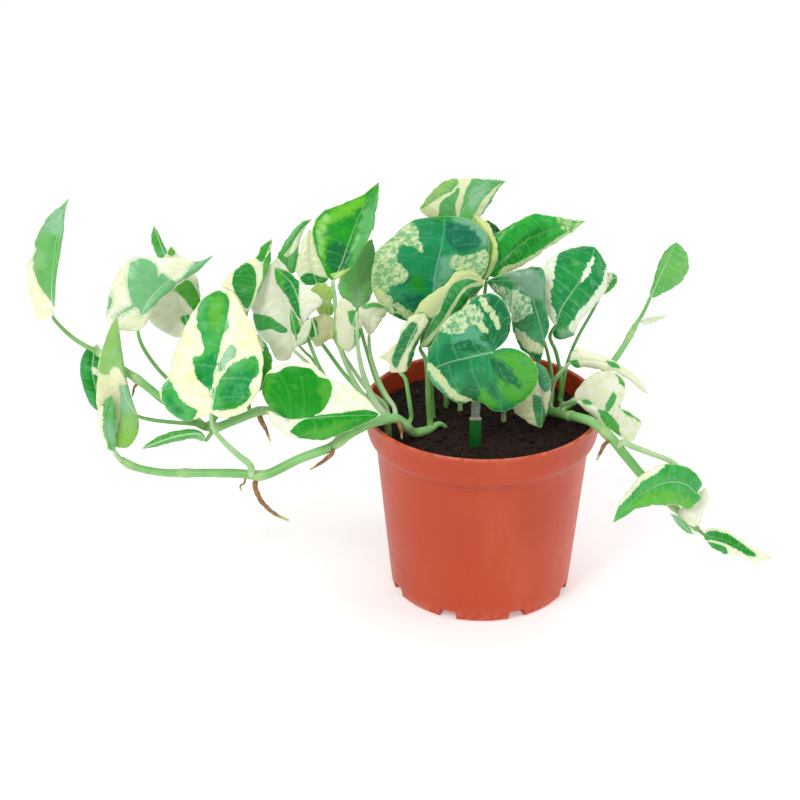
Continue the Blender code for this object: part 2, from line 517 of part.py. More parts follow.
leaf("leaf_crown_underside", GREEN, [(357, 308, 14), (359, 285, 19), (364, 260, 25), (372, 239, 31)],
     [(348, 302), (342, 290), (345, 275), (354, 258), (364, 245)], [(364, 304), (370, 293), (373, 275), (375, 255)],
     slope=(0.1, 0.2), petiole=[(357, 308, 14), (361, 330, 11), (368, 355, 5), (376, 380, -3), (386, 400, -9)])
leaf("leaf_crown_cream_back", CREAM, [(317, 284, 14), (312, 268, 17), (310, 250, 21), (310, 229, 26)],
     [(307, 285), (300, 279), (296, 270), (300, 252), (304, 237)], [(324, 283), (329, 277), (324, 264), (317, 245)],
     petiole=[(317, 284, 14), (322, 300, 12), (328, 322, 9), (338, 345, 3), (352, 368, -4), (368, 390, -10), (386, 407, -15)])
leaf("leaf_crown_spoon", CREAM, [(356, 312, -12), (352, 330, -14), (349, 352, -15)], [(348, 309), (342, 318), (338, 333), (341, 347)],
     [(360, 318), (362, 332), (356, 345)],
     petiole=[(356, 312, -12), (357, 328, -15), (358, 348, -17), (362, 370, -18), (369, 390, -20), (377, 405, -22), (382, 412, -24)],
     pr=(0.8, 1.0, 1.6, 1.8), cols=6, dome=0.5)
leaf("leaf_crown_arch", CREAM, [(369, 336, -4), (370, 322, 0), (375, 312, 4), (388, 307, 9)],
     [(364, 327), (357, 317), (362, 306), (374, 301.5)], [(375, 330), (381, 321), (386, 314)],
     petiole=[(369, 336, -4), (370, 352, -8), (377, 376, -12), (386, 395, -16), (394, 407, -19)], pr=(0.8, 1.1, 1.2), cols=6, dome=0.6)
leaf("leaf_crown_twisted", CREAM, [(400, 372, -20), (406, 350, -18), (415, 330, -14), (425, 313, -10)],
     [(391, 372), (389, 363), (380, 357), (390, 350), (398, 340), (402, 328), (412, 316)],
     [(405, 372), (411, 363), (415, 350), (421, 336), (428, 322)],
     slope=(0.1, -0.1), petiole=[(400, 372, -20), (405, 378, -20), (408, 392, -20), (410, 406, -19.5), (411, 418, -19)], pr=(0.9, 1.1, 1.1), dome=0.4)
leaf("leaf_crown_centre", GREEN, [(433, 300, 8), (435, 275, 12), (439, 257, 17), (443, 238, 24), (445, 216, 33)],
     [(427, 312), (417, 319), (407, 317), (396, 308), (388, 297), (380, 287), (374, 277), (373, 264), (377, 252), (388, 241), (397, 232), (406, 225), (418, 219), (432, 217)],
     [(441, 308), (456, 303), (470, 292), (481, 280), (487, 266), (489.5, 250), (488, 238), (482, 228), (471, 221), (458, 217)],
     slope=(0.1, 0.1), petiole=[(433, 300, 8), (430, 325, 7), (430, 355, 5), (431, 385, 4), (432, 405, 3.5)], pr=(1.0, 1.2, 1.3), cols=10)
leaf("leaf_crown_centre_back", GREEN, [(474, 286, 22), (484, 262, 26), (484, 240, 31), (474, 216, 38)],
     [(468, 275), (470, 255), (470, 235)], [(484, 280), (494, 268), (498, 253), (495, 238), (489, 225), (481, 217.5)],
     petiole=[(474, 286, 22), (470, 310, 20), (466, 340, 16), (462, 370, 13), (460, 395, 11)], cols=6)
leaf("leaf_crown_top", GREEN, [(452, 224, 42), (462, 210, 46), (480, 193, 52), (506, 181, 59)],
     [(440, 222), (428, 217), (420, 209), (426, 199), (433, 191), (440, 183.5), (450, 179.5), (462, 178.5), (480, 179), (495, 179.5)],
     [(462, 226), (474, 222), (483, 213), (491, 202), (499, 188)],
     petiole=[(452, 224, 42), (449, 250, 39), (446, 290, 33), (444, 330, 26), (444, 370, 19), (446, 395, 14)], pr=(0.9, 1.1, 1.2))
leaf("leaf_crown_arching", GREEN, [(420, 348, -10), (430, 325, -9), (442, 303, -7), (456, 283, -4), (467, 276, -2), (484, 280.5, 1)],
     [(420, 338), (422, 326), (413, 318), (417, 309), (425, 298), (436, 291), (446, 284), (455, 273), (464, 270.5), (475, 273)],
     [(431, 337), (441, 324), (453, 306), (459, 295), (466, 288), (476, 283)],
     slope=(-0.1, -0.1), petiole=[(420, 348, -10), (425, 358, -11), (427.5, 375, -11.5), (428, 395, -12), (429, 412, -12), (430, 421, -12)], pr=(1.0, 1.3, 1.4), dome=0.6)
leaf("leaf_crown_low_hero", GREEN, [(492, 352, -25), (470, 357, -29), (450, 362, -31), (427, 371, -32)],
     [(500, 346), (507, 338), (510.5, 326), (510, 313), (504, 302), (496, 295), (488, 293), (478, 296), (464, 307), (452, 315), (442, 326), (434, 340), (428, 354)],
     [(503, 348), (519, 350), (530, 358), (537, 368), (538, 380), (533, 390), (525, 399), (513, 408), (501, 411.5), (491, 409), (483, 403.5), (472, 401), (462, 403), (452, 400), (441, 392), (432, 382)],
     slope=(0.35, -0.1), petiole=[(492, 352, -25), (497, 358, -21), (501, 372, -15), (503, 390, -9), (504, 405, -4), (504, 411, -2)], pr=(1.0, 1.2, 1.2), cols=12)
leaf("leaf_crown_speckled", GREEN, [(544, 341, -4), (539, 318, 0), (530, 296, 4), (514, 281, 8), (486, 281, 12)],
     [(543, 352), (539, 361.5), (530, 356), (521, 348), (515, 336), (512, 323), (509, 308), (502, 299), (493, 290)],
     [(548, 332), (549.5, 324), (547, 312), (545, 298), (545, 282), (543, 269), (531, 267), (514, 271), (500, 275)],
     slope=(-0.05, 0.2), petiole=[(544, 341, -3.7), (547, 350, 1), (550, 364, 5), (552, 382, 7), (552, 398, 7.5)], pr=(0.9, 1.0, 1.1), cols=9)
leaf("leaf_crown_pointed_low", CREAM, [(531, 360, -10), (538, 380, -14), (542, 402, -17), (541, 428, -21)],
     [(521, 365), (513, 383), (511, 401), (513, 410), (521, 417), (530, 423.5)], [(543, 366), (549, 375), (551, 388), (549, 403), (545, 418)],
     slope=(-0.05, 0.3), petiole=[(531, 360, -10), (531, 366, -4), (533, 380, 3), (536, 397, 6)], pr=(0.8, 0.9, 1.0))
leaf("leaf_crown_right_long", GREEN, [(488, 276, 29), (505, 258, 32), (528, 239, 37), (552, 229, 43), (586, 221, 52)],
     [(487, 262), (490, 246), (497, 234), (511, 225), (525, 217), (536, 214), (552, 216), (568, 219)],
     [(496, 277), (509, 272), (524, 264.5), (536, 257), (546, 249), (558, 241.5), (571, 233), (580, 225)],
     slope=(0.1, -0.1), petiole=[(488, 276, 29), (484, 300, 27), (480, 330, 23), (478, 365, 17), (478, 395, 12)], pr=(0.9, 1.1, 1.2))
leaf("leaf_crown_dark_sliver", GREEN, [(480, 252, 45), (488, 238, 48), (501, 231, 52)], [(479, 236), (485, 221), (493, 223)], [(488, 250), (497, 243)],
     petiole=[(480, 252, 45), (478, 275, 42), (474, 310, 36), (471, 350, 28), (470, 390, 20)], cols=5, rows=1, dome=0.0)
leaf("leaf_crown_right", GREEN, [(555, 326, 8), (562, 307, 11), (575, 288, 16), (590, 262, 24), (595, 247, 30)],
     [(550, 318), (544, 305), (542.5, 286), (544, 270), (550, 259), (560, 252.5), (570, 249), (582, 246)],
     [(553, 334), (557, 339), (565, 339), (573, 335), (578, 325), (585, 315), (597, 303), (606, 288), (607.5, 274), (604, 260)],
     slope=(0.1, 0.1), petiole=[(555, 326, 8), (550, 336, 9), (556, 352, 11), (560, 372, 12), (561, 390, 11.5), (560, 399, 11)], pr=(0.9, 1.0, 1.1), cols=10)
leaf("leaf_crown_right_behind", GREEN, [(600, 296, 34), (606, 284, 37), (617, 276, 41)], [(600, 284), (605, 275), (611, 272.5)],
     [(607, 293), (613, 288), (617, 282)],
     petiole=[(600, 296, 34), (592, 312, 31), (580, 333, 27), (572, 350, 23), (566, 368, 19), (563, 385, 16.5)], pr=(0.8, 0.9, 1.0), cols=5, rows=1, dome=0.0)
leaf("leaf_right_upright", GREEN, [(650, 298, 26), (658, 280, 29), (667, 261, 33), (676, 242, 38)],
     [(650, 292), (653, 283), (656, 271), (660, 260), (666, 250)], [(656, 297), (665, 292), (675, 287), (685, 277), (689, 263), (684, 249)],
     slope=(0.2, 0.2), petiole=[(650, 298, 26), (647, 305, 25), (642, 315, 24), (638.5, 320.5, 23.2)], pr=(0.9, 1.0, 1.0), cols=6)
leaf("leaf_right_bract", CREAM, [(640, 322, 23.6), (652, 319, 25), (667, 316, 27)], [(645, 318.5), (655, 316.5)], [(645, 324.5), (656, 321.5)],
     cols=4, rows=1, dome=0.0)
leaf("leaf_right_drooping", CREAM, [(570, 363, -8), (590, 360, -12), (612, 365, -17), (632, 376, -21), (648.5, 394, -25)],
     [(571, 354), (575, 349), (585, 350.5), (599, 355), (612, 360), (626, 368), (640, 380.5)],
     [(576, 367.5), (587, 367), (597, 369), (605, 371), (613, 371), (622, 375.5), (632, 382), (642, 391)],
     slope=(0.6, 0.3), petiole=[(570, 363, -8), (563, 370, -5), (556, 378, -2), (552, 388, 0.5), (550, 398, 1.5), (549, 402, 2)], pr=(0.9, 1.1, 1.2))
leaf("leaf_right_round", CREAM, [(575, 400, -12), (596, 407, -19), (614, 422, -23), (634, 440, -25)],
     [(575, 393), (580, 386), (587, 378.5), (596, 372.5), (605, 371.5), (614, 372.5), (622, 378), (625, 388), (624, 397), (620, 408), (627, 411), (634, 415), (641, 423), (638, 431)],
     [(580, 405), (585, 410), (591, 415), (600, 421.5), (610, 429), (620, 436), (628, 441)],
     slope=(0.1, 0.1), petiole=[(575, 400, -12), (568, 403, -8), (562, 406, -5)], pr=(1.0, 1.1, 1.2), cols=10)
leaf("leaf_right_low", GREEN, [(696, 493, -60), (686, 484, -63), (668, 482, -66), (640, 495, -71), (613, 523, -76)],
     [(702, 485), (699, 477), (690, 469), (678, 464.5), (667, 464), (655, 467), (642, 475), (629, 490), (619, 505)],
     [(701, 497), (696, 503), (689, 509.5), (682, 506), (668, 505), (649, 506), (636, 509), (627, 515)],
     slope=(0.15, -0.1), petiole=[(696, 493, -60), (695, 484, -56), (684, 472, -52.5), (670, 461, -49), (650, 453, -45), (634, 447, -42), (623, 442.5, -39.5)],
     pr=(1.0, 1.2, 1.4, 1.6))
leaf("leaf_right_low_behind", CREAM, [(701, 492, -54), (698, 508, -57), (694, 527, -61)], [(705, 488), (708.5, 498), (703, 512), (700, 523)],
     [(694, 492), (684, 505), (678, 513), (684, 522)], slope=(0.1, 0.1), cols=6, rows=1, dome=0.0,
     petiole=[(701, 492, -54), (700, 500, -50), (696, 510, -49)], pr=(0.6, 0.7, 0.7))
leaf("leaf_right_terminal", GREEN, [(703, 534, -57.5), (722, 539, -61), (742, 548, -64), (772, 558, -68)],
     [(706, 530), (718, 528.5), (729, 532), (740, 538), (752, 546), (762, 552.5)], [(706, 541), (716, 550), (726, 554), (736, 554.5), (746, 559.5), (756, 562.5), (765, 559.5)],
     slope=(0.2, -0.2), cols=8, dome=0.5, petiole=[(703, 534, -57.5), (701, 532, -57), (699.5, 531, -56.8)], pr=(0.9, 0.9, 0.9))
leaf("leaf_right_terminal_bract", GREEN, [(694, 534.5, -60), (684, 526, -61), (670, 513.5, -62)], [(688, 525.5), (679, 517)], [(687, 532.5), (678, 525)],
     cols=4, rows=1, dome=0.0)
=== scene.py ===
"""The potted variegated pothos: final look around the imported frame.

Every blade, petiole, vine, root, the pot, the soil and the label stake get
a fine mesh and a procedural material here, in the places that the frame
gives them.  Layout positions are the design's own sheet positions (u, v, y).
"""

import bmesh
import bpy
import math
import numpy as np
from math import cos, pi, radians, sin, sqrt
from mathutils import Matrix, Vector, noise


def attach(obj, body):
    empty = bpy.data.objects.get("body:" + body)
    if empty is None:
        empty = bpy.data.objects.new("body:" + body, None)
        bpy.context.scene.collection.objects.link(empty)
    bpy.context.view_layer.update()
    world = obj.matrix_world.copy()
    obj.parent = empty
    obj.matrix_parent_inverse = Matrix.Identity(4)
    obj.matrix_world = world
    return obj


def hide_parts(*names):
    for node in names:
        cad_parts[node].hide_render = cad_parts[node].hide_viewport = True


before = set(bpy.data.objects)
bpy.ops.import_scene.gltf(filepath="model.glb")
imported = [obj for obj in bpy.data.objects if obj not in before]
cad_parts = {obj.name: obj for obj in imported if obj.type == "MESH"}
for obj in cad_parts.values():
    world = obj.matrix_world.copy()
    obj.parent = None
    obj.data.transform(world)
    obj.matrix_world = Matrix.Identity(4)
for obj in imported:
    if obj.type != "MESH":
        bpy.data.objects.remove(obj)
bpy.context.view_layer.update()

MM = 0.001
TILT = radians(27.17)
REACH = 1200.0
SCALE = 2390.0
MID_U = MID_V = 400.0
SHEET_X = -41.56
SHEET_Z = 102.25

# ------------------------------------------------------------------- camera
cam_data = bpy.data.cameras.new("camera")
cam = bpy.data.objects.new("camera", cam_data)
bpy.context.scene.collection.objects.link(cam)
cam_data.sensor_width = 36.0
cam_data.sensor_fit = "HORIZONTAL"
cam_data.lens = 36.0 * SCALE / 800.0
cam_data.clip_start = 0.05
cam_data.clip_end = 20.0
cam.location = (SHEET_X * MM, -REACH * cos(TILT) * MM, (SHEET_Z + REACH * sin(TILT)) * MM)
cam.rotation_euler = (pi / 2 - TILT, 0.0, 0.0)
bpy.context.scene.camera = cam
bpy.context.scene.view_settings.view_transform = "Standard"


# ------------------------------------------------------------------ helpers
def at(u, v, y):
    """World position (metres) of the sheet position (u, v) at depth y (mm)."""
    c, s = cos(TILT), sin(TILT)
    du, dv = (u - MID_U) / SCALE, (MID_V - v) / SCALE
    t = (y + REACH * c) / (dv * s + c)
    return Vector(((SHEET_X + t * du) * MM, y * MM, (SHEET_Z + REACH * s + t * (dv * c - s)) * MM))


def at_np(p):
    """at() for an array (..., 3) of sheet positions."""
    c, s = cos(TILT), sin(TILT)
    du, dv = (p[..., 0] - MID_U) / SCALE, (MID_V - p[..., 1]) / SCALE
    t = (p[..., 2] + REACH * c) / (dv * s + c)
    return np.stack([SHEET_X + t * du, p[..., 2], SHEET_Z + REACH * s + t * (dv * c - s)], -1) * MM


def lin(r, g, b):
    """Linear colour of 8-bit display values."""
    out = []
    for x in (r, g, b):
        x = x / 255.0
        out.append(x / 12.92 if x <= 0.04045 else ((x + 0.055) / 1.055) ** 2.4)
    return (*out, 1.0)


def catmull(pts, n):
    """(n + 1, k) array of evenly spaced points on a Catmull-Rom curve through pts."""
    p = [np.array(q, float) for q in pts]
    if len(p) == 2:
        return np.array([p[0] + (p[1] - p[0]) * i / n for i in range(n + 1)])
    ext = [p[0] * 2 - p[1]] + p + [p[-1] * 2 - p[-2]]
    fine = []
    for i in range(1, len(ext) - 2):
        p0, p1, p2, p3 = ext[i - 1:i + 3]
        d1 = max(np.linalg.norm(p1 - p0), 1e-9) ** 0.5
        d2 = max(np.linalg.norm(p2 - p1), 1e-9) ** 0.5
        d3 = max(np.linalg.norm(p3 - p2), 1e-9) ** 0.5
        m1 = ((p1 - p0) / d1 - (p2 - p0) / (d1 + d2) + (p2 - p1) / d2) * d2
        m2 = ((p2 - p1) / d2 - (p3 - p1) / (d2 + d3) + (p3 - p2) / d3) * d2
        for k in range(20):
            t = k / 20
            fine.append(p1 * (2 * t**3 - 3 * t**2 + 1) + m1 * (t**3 - 2 * t**2 + t)
                        + p2 * (3 * t**2 - 2 * t**3) + m2 * (t**3 - t**2))
    fine.append(p[-1])
    fine = np.array(fine)
    run = np.concatenate([[0.0], np.cumsum(np.linalg.norm(np.diff(fine, axis=0), axis=1))])
    want = np.linspace(0, run[-1], n + 1)
    return np.stack([np.interp(want, run, fine[:, k]) for k in range(fine.shape[1])], 1)


def smooth01(x):
    x = np.clip(x, 0.0, 1.0)
    return x * x * (3 - 2 * x)


def seed_of(name):
    return sum((i + 1) * ord(ch) for i, ch in enumerate(name)) % 9973


def inside_by(poly, uv):
    """Signed distance of points uv (n, 2) to a closed outline, positive inside."""
    a = np.array(poly, float)
    b = np.roll(a, -1, axis=0)
    e = b - a
    best = np.full(len(uv), 1e9)
    odd = np.zeros(len(uv), bool)
    for i in range(len(a)):
        w = uv - a[i]
        q = max(e[i] @ e[i], 1e-12)
        t = np.clip(w @ e[i] / q, 0, 1)
        best = np.minimum(best, np.linalg.norm(w - t[:, None] * e[i], axis=1))
        cond = (a[i, 1] > uv[:, 1]) != (b[i, 1] > uv[:, 1])
        if abs(e[i, 1]) > 1e-12:
            x = a[i, 0] + (uv[:, 1] - a[i, 1]) * e[i, 0] / e[i, 1]
            odd ^= cond & (uv[:, 0] < x)
    return np.where(odd, best, -best)


def zone_field(polys, uv):
    """Largest signed distance to any of the outlines; well outside if there is none."""
    f = np.full(len(uv), -40.0)
    for p in polys:
        if len(p) > 2:
            closed = catmull(list(p) + [p[0]], 6 * len(p))[:-1]
            f = np.maximum(f, inside_by(closed, uv))
    return f


# ------------------------------------------------------------ node building
class Nodes:
    """Small helper to write a node tree as expressions."""

    def __init__(self, name, rough=0.4):
        self.m = bpy.data.materials.new(name)
        self.m.use_nodes = True
        self.t = self.m.node_tree
        self.b = self.t.nodes["Principled BSDF"]
        self.b.inputs["Roughness"].default_value = rough
        self.x = -300

    def node(self, kind, **props):
        n = self.t.nodes.new(kind)
        self.x -= 30
        n.location = (self.x, 0)
        for k, v in props.items():
            setattr(n, k, v)
        return n

    def put(self, socket, value):
        if isinstance(value, bpy.types.NodeSocket):
            self.t.links.new(value, socket)
        elif value is not None:
            socket.default_value = value

    def math(self, op, a, b=None, c=None, clamp=False):
        n = self.node("ShaderNodeMath", operation=op, use_clamp=clamp)
        self.put(n.inputs[0], a)
        self.put(n.inputs[1], b)
        self.put(n.inputs[2], c)
        return n.outputs[0]

    def step(self, x, lo, hi):
        """Smooth step of x from lo to hi."""
        n = self.node("ShaderNodeMapRange", interpolation_type="SMOOTHSTEP")
        self.put(n.inputs["Value"], x)
        n.inputs["From Min"].default_value = lo
        n.inputs["From Max"].default_value = hi
        return n.outputs["Result"]

    def mix(self, f, a, b, mode="MIX"):
        n = self.node("ShaderNodeMix", data_type="RGBA", blend_type=mode)
        self.put(n.inputs["Factor"], f)
        self.put(n.inputs[6], a)
        self.put(n.inputs[7], b)
        return n.outputs[2]

    def attr(self, name):
        n = self.node("ShaderNodeAttribute", attribute_name=name, attribute_type="GEOMETRY")
        return n.outputs["Vector"]

    def parts(self, v):
        n = self.node("ShaderNodeSeparateXYZ")
        self.put(n.inputs[0], v)
        return n.outputs

    def join(self, x, y, z):
        n = self.node("ShaderNodeCombineXYZ")
        self.put(n.inputs[0], x)
        self.put(n.inputs[1], y)
        self.put(n.inputs[2], z)
        return n.outputs[0]

    def place(self, offset=(0, 0, 0), stretch=(1, 1, 1)):
        c = self.node("ShaderNodeTexCoord").outputs["Object"]
        n = self.node("ShaderNodeMapping")
        self.put(n.inputs["Vector"], c)
        n.inputs["Location"].default_value = offset
        n.inputs["Scale"].default_value = stretch
        return n.outputs[0]

    def noise(self, vec, scale, detail=2.0, rough=0.5, distortion=0.0):
        n = self.node("ShaderNodeTexNoise")
        self.put(n.inputs["Vector"], vec)
        n.inputs["Scale"].default_value = scale
        n.inputs["Detail"].default_value = detail
        n.inputs["Roughness"].default_value = rough
        n.inputs["Distortion"].default_value = distortion
        return n.outputs[0]

    def voronoi(self, vec, scale, feature="F1"):
        n = self.node("ShaderNodeTexVoronoi", feature=feature)
        self.put(n.inputs["Vector"], vec)
        n.inputs["Scale"].default_value = scale
        return n.outputs["Distance"]

    def bump(self, height, strength=0.3, dist=0.0003, below=None):
        n = self.node("ShaderNodeBump")
        self.put(n.inputs["Height"], height)
        n.inputs["Strength"].default_value = strength
        n.inputs["Distance"].default_value = dist
        if below is not None:
            self.put(n.inputs["Normal"], below)
        return n.outputs[0]

    def out(self, **sockets):
        for k, v in sockets.items():
            self.put(self.b.inputs[k.replace("_", " ")], v)
        return self.m


def make_object(name, verts, faces, mats, mat_index=None, attrs=None, smooth=None, node=None):
    """Mesh object from arrays, with float vector attributes on its points."""
    me = bpy.data.meshes.new(name)
    me.from_pydata([tuple(v) for v in verts], [], faces)
    for m in mats:
        me.materials.append(m)
    if mat_index is not None:
        me.polygons.foreach_set("material_index", np.asarray(mat_index, np.int32))
    for key, val in (attrs or {}).items():
        a = me.attributes.new(key, "FLOAT_VECTOR", "POINT")
        a.data.foreach_set("vector", np.asarray(val, np.float32).ravel())
    me.validate()
    me.update()
    me.shade_smooth()
    if smooth:
        me.set_sharp_from_angle(angle=radians(smooth))
    ob = bpy.data.objects.new(name, me)
    bpy.context.scene.collection.objects.link(ob)
    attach(ob, "root")
    if node:
        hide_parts(node)
    return ob


def tube(path, radii, sides=14, groove=0.0, squash=1.0, ref=(0.0, -0.45, 1.0), cap=True):
    """Round tube along world points (metres) with radii in mm and closed, rounded
    ends.  groove cuts a channel along the side that faces ref.  Returns
    (verts, faces, along in mm, angle 0..1)."""
    path = np.asarray(path, float)
    radii = np.asarray(radii, float)
    if cap:
        # rounded ends: three extra rings at each end
        d0 = path[0] - path[1]
        d0 /= max(np.linalg.norm(d0), 1e-9)
        d1 = path[-1] - path[-2]
        d1 /= max(np.linalg.norm(d1), 1e-9)
        head, hr, tail, tr = [], [], [], []
        for a in (80, 55, 28):
            head.append(path[0] + d0 * radii[0] * sin(radians(a)) * MM * 0.8)
            hr.append(radii[0] * cos(radians(a)))
        for a in (28, 55, 80):
            tail.append(path[-1] + d1 * radii[-1] * sin(radians(a)) * MM * 0.8)
            tr.append(radii[-1] * cos(radians(a)))
        path = np.concatenate([head, path, tail])
        radii = np.concatenate([hr, radii, tr])
    n = len(path)
    tang = np.gradient(path, axis=0)
    tang /= np.maximum(np.linalg.norm(tang, axis=1, keepdims=True), 1e-12)
    run = np.concatenate([[0.0], np.cumsum(np.linalg.norm(np.diff(path, axis=0), axis=1))]) / MM
    ref = np.array(ref, float)
    verts, along, ang = [], [], []
    side = None
    for i in range(n):
        d = tang[i]
        want = ref - d * (ref @ d)
        if np.linalg.norm(want) < 0.2 or side is not None:
            base = side if side is not None else np.array((0.31, 0.87, 0.4))
            base = base - d * (base @ d)
            base /= max(np.linalg.norm(base), 1e-9)
            if np.linalg.norm(want) > 0.2:
                want = want / np.linalg.norm(want)
                base = base * 0.85 + want * 0.15
                base /= max(np.linalg.norm(base), 1e-9)
            side = base
        else:
            side = want / np.linalg.norm(want)
        other = np.cross(d, side)
        for k in range(sides):
            a = 2 * pi * k / sides
            da = min(a, 2 * pi - a)
            r = radii[i] * (1 - groove * math.exp(-(da / 0.45) ** 2))
            verts.append(path[i] + (side * cos(a) * squash + other * sin(a)) * r * MM)
            along.append(run[i])
            ang.append(k / sides)
    faces = []
    for i in range(n - 1):
        for k in range(sides):
            k2 = (k + 1) % sides
            faces.append((i * sides + k, i * sides + k2, (i + 1) * sides + k2, (i + 1) * sides + k))
    faces.append(tuple(range(sides))[::-1])
    faces.append(tuple((n - 1) * sides + k for k in range(sides)))
    return np.array(verts), faces, np.array(along), np.array(ang)


# ---------------------------------------------------------------- materials
def leaf_material(name, st):
    """Blade: variegated cuticle with vein-aligned ragged patches.  Reads the
    blade's own fields: lf_a (green patch, vein count, mm from the midrib),
    lf_b (mm from the margin, side 0 upper / 1 lower, mm from the base),
    lf_c (marbled zone, greyed zone, bright zone)."""
    k = Nodes(name)
    sd = seed_of(name)
    off = (sd * 0.0137 % 1, sd * 0.0071 % 1, sd * 0.0193 % 1)
    patch, vein, across = k.parts(k.attr("lf_a"))
    rim, side, along = k.parts(k.attr("lf_b"))
    zmarb, zgrey, zbright = k.parts(k.attr("lf_c"))
    zdark, _u1, _u2 = k.parts(k.attr("lf_d"))
    p = k.place(off)
    n_big = k.noise(p, 70, 2, 0.5)
    n_mid = k.noise(p, 260, 3, 0.6)
    n_fine = k.noise(p, 1100, 3, 0.6)
    streak_v = k.join(k.math("MULTIPLY", vein, 1.7), k.math("MULTIPLY", across, 0.16), sd * 0.37)
    streak = k.noise(streak_v, 1.6, 3, 0.6)
    fleck_v = k.join(k.math("MULTIPLY", vein, 6.0), k.math("MULTIPLY", across, 0.7), sd * 0.11)
    fleck = k.noise(fleck_v, 1.5, 2, 0.6)
    cloud = k.noise(k.join(k.math("MULTIPLY", vein, 0.8), k.math("MULTIPLY", across, 0.11), sd * 0.53), 1.7, 4, 0.62)
    # ragged edge of the green patches
    rag = st["rag"] * 1.5
    edge = k.math("ADD", patch, k.math("MULTIPLY", k.math("SUBTRACT", n_mid, 0.5), 9.0 * rag))
    edge = k.math("ADD", edge, k.math("MULTIPLY", k.math("SUBTRACT", streak, 0.5), 11.0 * rag))
    edge = k.math("ADD", edge, k.math("MULTIPLY", k.math("SUBTRACT", n_fine, 0.5), 2.2 * rag))
    g = k.step(edge, -0.28, 0.28)
    # green tones
    green = k.mix(k.step(n_big, 0.36, 0.64), st["g1"], st["g2"])
    green = k.mix(k.step(k.math("ADD", zgrey, k.math("MULTIPLY", k.math("SUBTRACT", streak, 0.5), 14.0)), -3.6, 3.6), green, st["grey"])
    green = k.mix(k.step(k.math("ADD", zbright, k.math("MULTIPLY", k.math("SUBTRACT", streak, 0.5), 16.0)), -4.0, 4.0), green, st["bright"])
    green = k.mix(k.step(k.math("ADD", zdark, k.math("MULTIPLY", k.math("SUBTRACT", streak, 0.5), 16.0)), -1.8, 1.8), green, st["dark"])
    # deeper and lighter clouds, drawn out along the veins
    green = k.mix(k.math("MULTIPLY", k.step(cloud, 0.56, 0.72), 0.55), green, k.mix(0.35, st["g1"], lin(0, 66, 24)))
    green = k.mix(k.math("MULTIPLY", k.step(streak, 0.5, 0.72), 0.45), green, st["g3"])
    # lighter lateral veins
    fr = k.math("FRACT", k.math("ADD", vein, 0.5))
    vd = k.math("ABSOLUTE", k.math("SUBTRACT", fr, 0.5))
    vline = k.math("SUBTRACT", 1.0, k.step(vd, 0.015, 0.085))
    green = k.mix(k.math("MULTIPLY", vline, st["veins"]), green, st["g3"])
    # cream tones
    cream = k.mix(k.step(n_big, 0.35, 0.65), st["c1"], st["c2"])
    cream = k.mix(k.math("MULTIPLY", k.step(k.math("ADD", streak, k.math("MULTIPLY", n_fine, 0.3)), 0.60, 0.80), st["tint"]), cream, st["c3"])
    # greyed halo where the green fades into the cream
    halo = k.math("MULTIPLY", k.step(k.math("ADD", edge, k.math("MULTIPLY", k.math("SUBTRACT", fleck, 0.5), 9.0)), -st["halo"] - 0.5, -st["halo"] + 0.6), 0.75)
    cream = k.mix(halo, cream, k.mix(0.5, st["grey"], st["c1"]))
    # fine green specks in the cream
    speck = k.math("MULTIPLY", k.step(k.math("ADD", fleck, k.math("MULTIPLY", n_fine, 0.35)), st["speck"], st["speck"] + 0.05), 0.85)
    cream = k.mix(speck, cream, st["g2"])
    col = k.mix(g, cream, green)
    # finely marbled zone of both colours
    mz = k.step(k.math("ADD", zmarb, k.math("MULTIPLY", k.math("SUBTRACT", streak, 0.5), 9.0)), -0.8, 0.8)
    feather = k.noise(k.join(k.math("MULTIPLY", vein, 2.6), k.math("MULTIPLY", across, 0.20), sd * 0.29), 1.6, 5, 0.68)
    blot = k.noise(p, 330, 5, 0.7)
    mt = k.step(k.math("ADD", k.math("MULTIPLY", feather, 0.62), k.math("MULTIPLY", blot, 0.38)), 0.455, 0.555)
    mcol = k.mix(mt, st["m1"] or k.mix(0.30, st["c2"], st["g3"]), st["m2"] or k.mix(0.55, st["g2"], st["g3"]))
    mcol = k.mix(k.math("MULTIPLY", k.step(n_fine, 0.5, 0.66), 0.45), mcol, st["g3"])
    col = k.mix(mz, col, mcol)
    # midrib
    wide = k.math("ADD", 0.12, k.math("MULTIPLY", k.step(along, 40.0, 0.0), 0.34))
    mid = k.math("SUBTRACT", 1.0, k.step(k.math("SUBTRACT", across, wide), -0.12, 0.22))
    mid = k.math("MULTIPLY", mid, k.math("ADD", 0.35, k.math("MULTIPLY", g, 0.65)))
    col = k.mix(k.math("MULTIPLY", mid, st["midrib"]), col, st["rib"])
    # thin pale margin
    rimf = k.math("SUBTRACT", 1.0, k.step(rim, st["rimw"] * 0.4, st["rimw"]))
    col = k.mix(k.math("MULTIPLY", rimf, st["rimf"]), col, st["rimc"])
    # lower side is duller and paler
    low = k.mix(0.42, col, lin(150, 196, 140))
    col = k.mix(k.step(side, 0.35, 0.65), col, low)
    cells = k.voronoi(p, 2600)
    h = k.math("ADD", k.math("MULTIPLY", vline, -0.5), k.math("MULTIPLY", cells, 0.10))
    h = k.math("ADD", h, k.math("MULTIPLY", mid, -0.5))
    h = k.math("ADD", h, k.math("MULTIPLY", n_mid, 0.9))
    nrm = k.bump(h, 0.35, 0.00028)
    rough = k.math("ADD", st["rough"], k.math("MULTIPLY", k.math("SUBTRACT", n_mid, 0.5), 0.16))
    rough = k.math("ADD", rough, k.math("MULTIPLY", side, 0.14))
    return k.out(Base_Color=col, Roughness=rough, Normal=nrm, Specular_IOR_Level=0.28,
                 Coat_Weight=0.14, Coat_Roughness=0.16)


